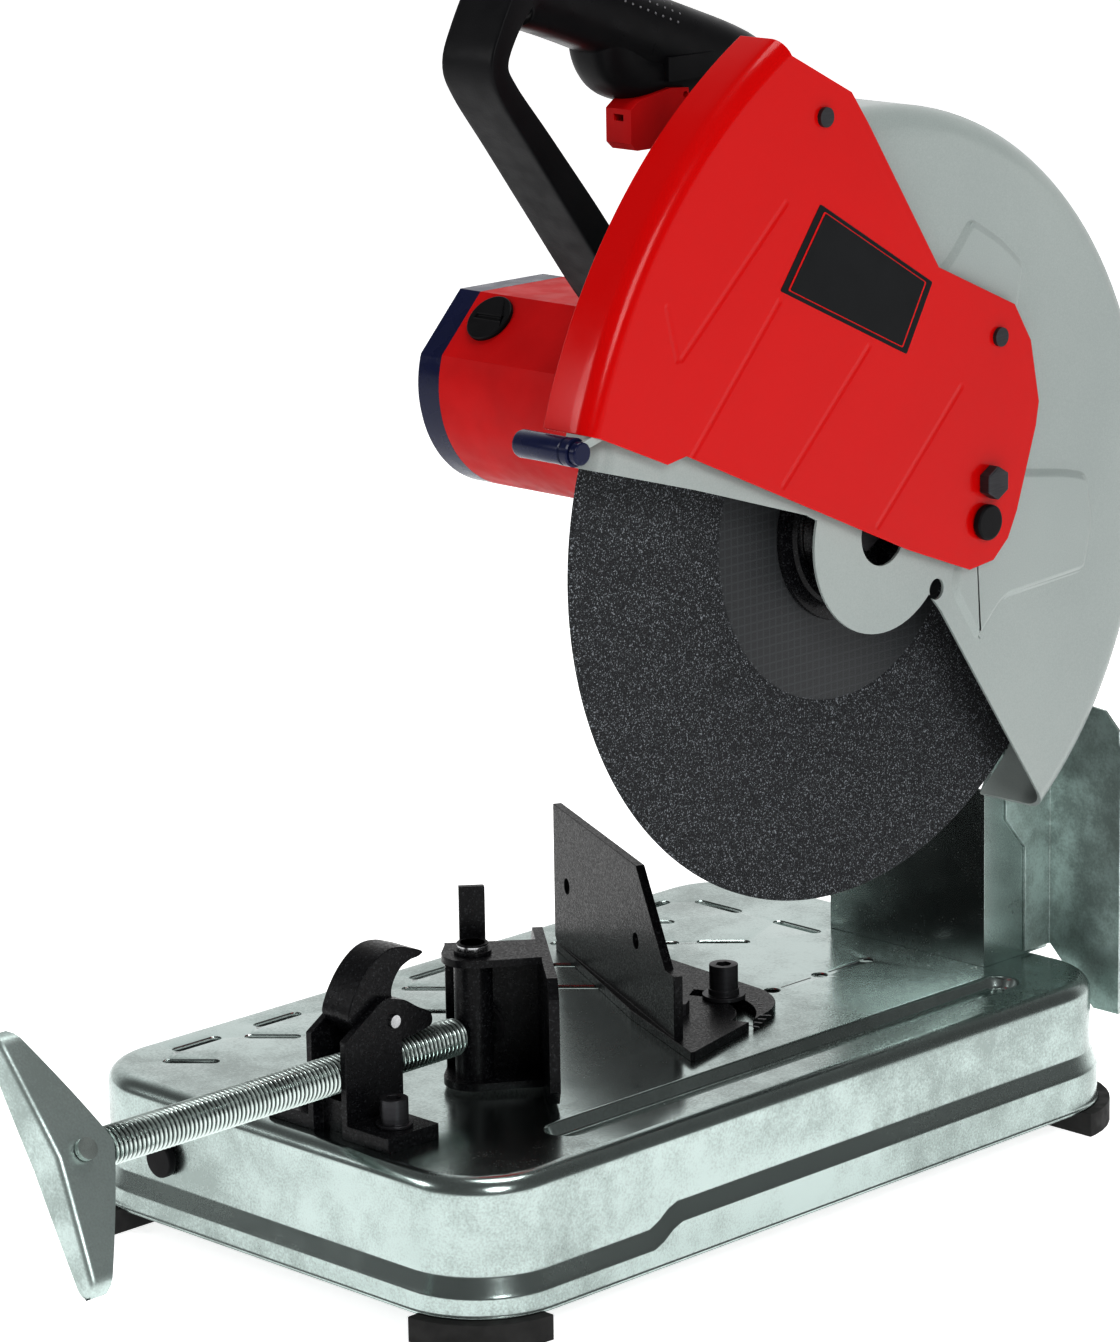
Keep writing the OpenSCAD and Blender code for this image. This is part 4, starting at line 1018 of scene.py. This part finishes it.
def tab():
    """Ear that carries the knob, on a narrow neck that runs up behind the hood."""
    outer_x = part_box("knob_tab")[1].x
    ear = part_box("lift_knob")
    cy, cz, ear_r = (ear[0].y + ear[1].y) / 2, (ear[0].z + ear[1].z) / 2, 0.0052
    bm = bmesh.new()
    plate_x(bm, [(cy + ear_r * math.cos(a), cz + ear_r * math.sin(a))
                 for a in (2 * math.pi * i / 32 for i in range(32))], ear[1].x, outer_x)
    piece = make_piece("knob_ear", bm, NAVY, ["knob_tab"], 40.0)
    bevel(piece, 0.0008)
    bm = bmesh.new()
    plate_x(bm, [(cy - 0.001, cz + 0.0005), (cy + 0.020, cz + 0.0060), (cy + 0.020, cz + 0.0105),
                 (cy - 0.001, cz + 0.0045)], outer_x - 0.0018, outer_x - 0.0002)
    make_piece("knob_neck", bm, GREY, [], 40.0, body="hood")


guard_pads()
knob()
tab()


# ------------------------------------------------------------------ hood
def pressed_hood():
    """Red sheet: flat face, wall round the front, the two joined by a rolled edge."""
    low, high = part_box("hood")
    face_x, wall_x, sheet = high.x, low.x, 0.0015
    radius, roll = 0.2745, 0.0085
    y0, z0 = HOOD_HINGE.y, HOOD_HINGE.z
    start, stop, steps = math.radians(163.0), math.radians(119.5), 40
    edge = [(0.0256, 0.5303), (0.0367, 0.5152), (0.0850, 0.4436), (0.1390, 0.4193), (0.1508, 0.4006),
            (0.1569, 0.3706), (0.1548, 0.3594), (0.1412, 0.3205), (0.1348, 0.3081), (0.1243, 0.2992),
            (0.1074, 0.2973), (0.0639, 0.3141), (-0.0834, 0.3809), (-0.0955, 0.3789)]
    bm = bmesh.new()
    rings = []
    for k in range(steps + 1):
        a = start + (stop - start) * k / steps
        section = [(wall_x, radius), (face_x - roll - 0.004, radius)]
        section += [(face_x - roll + roll * math.sin(b), radius - roll + roll * math.cos(b))
                    for b in (math.pi / 2 * i / 6 for i in range(7))]
        rings.append(ring_of(bm, [Vector((x, y0 + r * math.cos(a), z0 + r * math.sin(a)))
                                  for x, r in section]))
    for a, b in zip(rings, rings[1:]):
        for i in range(len(a) - 1):
            bm.faces.new((a[i], a[i + 1], b[i + 1], b[i]))
    rest = [bm.verts.new(Vector((face_x, y, z))) for y, z in edge]
    bm.faces.new([ring[-1] for ring in rings] + rest)
    piece = make_piece("hood_pressed", bm, RED_HOOD, ["hood"], 40.0)
    turned = piece.data.polygons[-1].normal.x > 0
    solid = piece.modifiers.new("sheet", "SOLIDIFY")
    solid.thickness = sheet
    solid.offset = -1.0 if turned else 1.0
    bevel(piece, 0.0004, 2, 50.0)


def bordered_label():
    """Blank black plate inside a thin red line."""
    back_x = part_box("label_plate")[0].x
    y0, z0 = HOOD_HINGE.y, HOOD_HINGE.z
    corners = [Vector((-0.1132, 0.1634)), Vector((-0.0372, 0.1184)), Vector((-0.0552, 0.0874)),
               Vector((-0.1399, 0.1276))]
    middle = sum(corners, Vector((0.0, 0.0))) / 4
    layers = [("label_black_edge", 1.0, 0.0002, LABEL_BLACK), ("label_red_line", 0.91, 0.0004, RED_HOOD),
              ("label_black_field", 0.885, 0.0006, LABEL_BLACK)]
    for name, scale, thick, look in layers:
        outline = rounded([middle + (c - middle) * scale for c in corners], 0.001)
        bm = bmesh.new()
        plate_x(bm, [(y0 + p.x, z0 + p.y) for p in outline], back_x, back_x + thick)
        if name == "label_black_field":
            make_piece(name, bm, look, ["label_plate"])
        else:
            make_piece(name, bm, look, [], body="hood")


pressed_hood()
bordered_label()


# ------------------------------------------------------------------ rounded copies of machined nodes
for node_name, width in (
        ("nut_bracket", 0.0014), ("jaw_yoke", 0.0008), ("jaw_plate", 0.0010),
        ("fence_plate", 0.0016), ("base_feet", 0.0018), ("trigger", 0.0040), ("motor_end_cap", 0.0030),
        ("brush_caps", 0.0009), ("bearing_cover", 0.0012), ("head_arm", 0.0025), ("jaw_post", 0.0007),
        ("guard_shell", 0.0006), ("hood_bolt", 0.0006), ("pivot_nuts", 0.0006),
        ("fence_lock_bolt", 0.0006), ("nut_bracket_bolts", 0.0006), ("base_plug", 0.0008),
        ("hood_pivot", 0.0010), ("spark_guard", 0.0003), ("pivot_bracket", 0.0006),
        ("lock_button", 0.0012), ("motor_housing", 0.0008)):
    soften(node_name, width)


# ------------------------------------------------------------------ floor, light and camera
def sheet_on_floor(name, half_x, half_y, z):
    mesh = bpy.data.meshes.new(name)
    mesh.from_pydata([(-half_x, -half_y, z), (half_x, -half_y, z), (half_x, half_y, z), (-half_x, half_y, z)],
                     [], [(0, 1, 2, 3)])
    return linked(name, mesh)


def studio():
    """White floor with a dark patch under the pan, a bright backdrop on one side and three lamps."""
    size, inset, above = 30.0, 0.058, 0.0004
    floor = sheet_on_floor("floor", size, size, 0.0)
    pale = Graph("pale_floor", (0.86, 0.86, 0.86), 0.7, Specular_IOR_Level=0.1, Emission_Strength=0.8)
    pale.put("Emission Color", (1.0, 1.0, 1.0, 1.0))
    pale.colour(pale.blend(pale.noise(3.0), (0.85, 0.85, 0.85), (0.87, 0.87, 0.87)))
    floor.data.materials.append(pale.material)
    shade = sheet_on_floor("floor_shade", BASE_HIGH.x - inset, BASE_HIGH.y - inset, above)
    shade.data.materials.append(RUBBER)
    backdrop, fade_between, dim, bright = (-0.68, 0.73, -0.35), (0.15, 0.75), 0.16, 1.05
    aim = Vector((0.0, 0.0, 0.25))
    world = bpy.data.worlds.new("studio")
    bpy.context.scene.world = world
    world.use_nodes = True
    sky = world.node_tree.nodes["Background"]
    sky.inputs["Strength"].default_value = 1.0
    nodes, links = world.node_tree.nodes, world.node_tree.links
    direction = nodes.new("ShaderNodeTexCoord")
    towards = nodes.new("ShaderNodeVectorMath")
    towards.operation = "DOT_PRODUCT"
    towards.inputs[1].default_value = backdrop
    fade = nodes.new("ShaderNodeMapRange")
    fade.interpolation_type = "SMOOTHSTEP"
    for value, socket in zip((0.0, *fade_between, dim, bright), fade.inputs):
        socket.default_value = value
    links.new(direction.outputs["Generated"], towards.inputs[0])
    links.new(towards.outputs["Value"], fade.inputs[0])
    links.new(fade.outputs[0], sky.inputs["Color"])
    for name, place, size_m, watts in (("key", (2.1, -0.9, 1.5), 1.0, 26.0),
                                       ("fill", (-1.4, -2.1, 1.3), 0.8, 14.0),
                                       ("top", (0.1, 0.5, 2.4), 1.2, 26.0)):
        data = bpy.data.lights.new(name, "AREA")
        data.shape = "DISK"
        data.size = size_m
        data.energy = watts
        lamp = linked(name, data)
        lamp.location = place
        lamp.rotation_euler = (aim - lamp.location).to_track_quat("-Z", "Y").to_euler()


def camera():
    """The photograph's view: its angle, its lens and its slight roll."""
    azimuth, elevation, roll = (math.radians(v) for v in (45.2646, 13.7573, -0.9549))
    back = Vector((math.sin(azimuth) * math.cos(elevation), -math.cos(azimuth) * math.cos(elevation),
                   math.sin(elevation)))
    right = Vector((math.cos(azimuth), math.sin(azimuth), 0.0))
    up = back.cross(right)
    right, up = (right * math.cos(roll) + up * math.sin(roll), up * math.cos(roll) - right * math.sin(roll))
    data = bpy.data.cameras.new("view")
    data.sensor_width = 36.0
    data.sensor_fit = "AUTO"
    data.lens = 139.09
    data.clip_end = 60.0
    obj = linked("view", data)
    place = Matrix((right, up, back)).transposed().to_4x4()
    place.translation = Vector((1.68393, -1.69861, 0.83237))
    obj.matrix_world = place
    bpy.context.scene.camera = obj


studio()
camera()
bpy.context.scene.view_settings.view_transform = "Standard"
bpy.context.scene.view_settings.gamma = 0.85
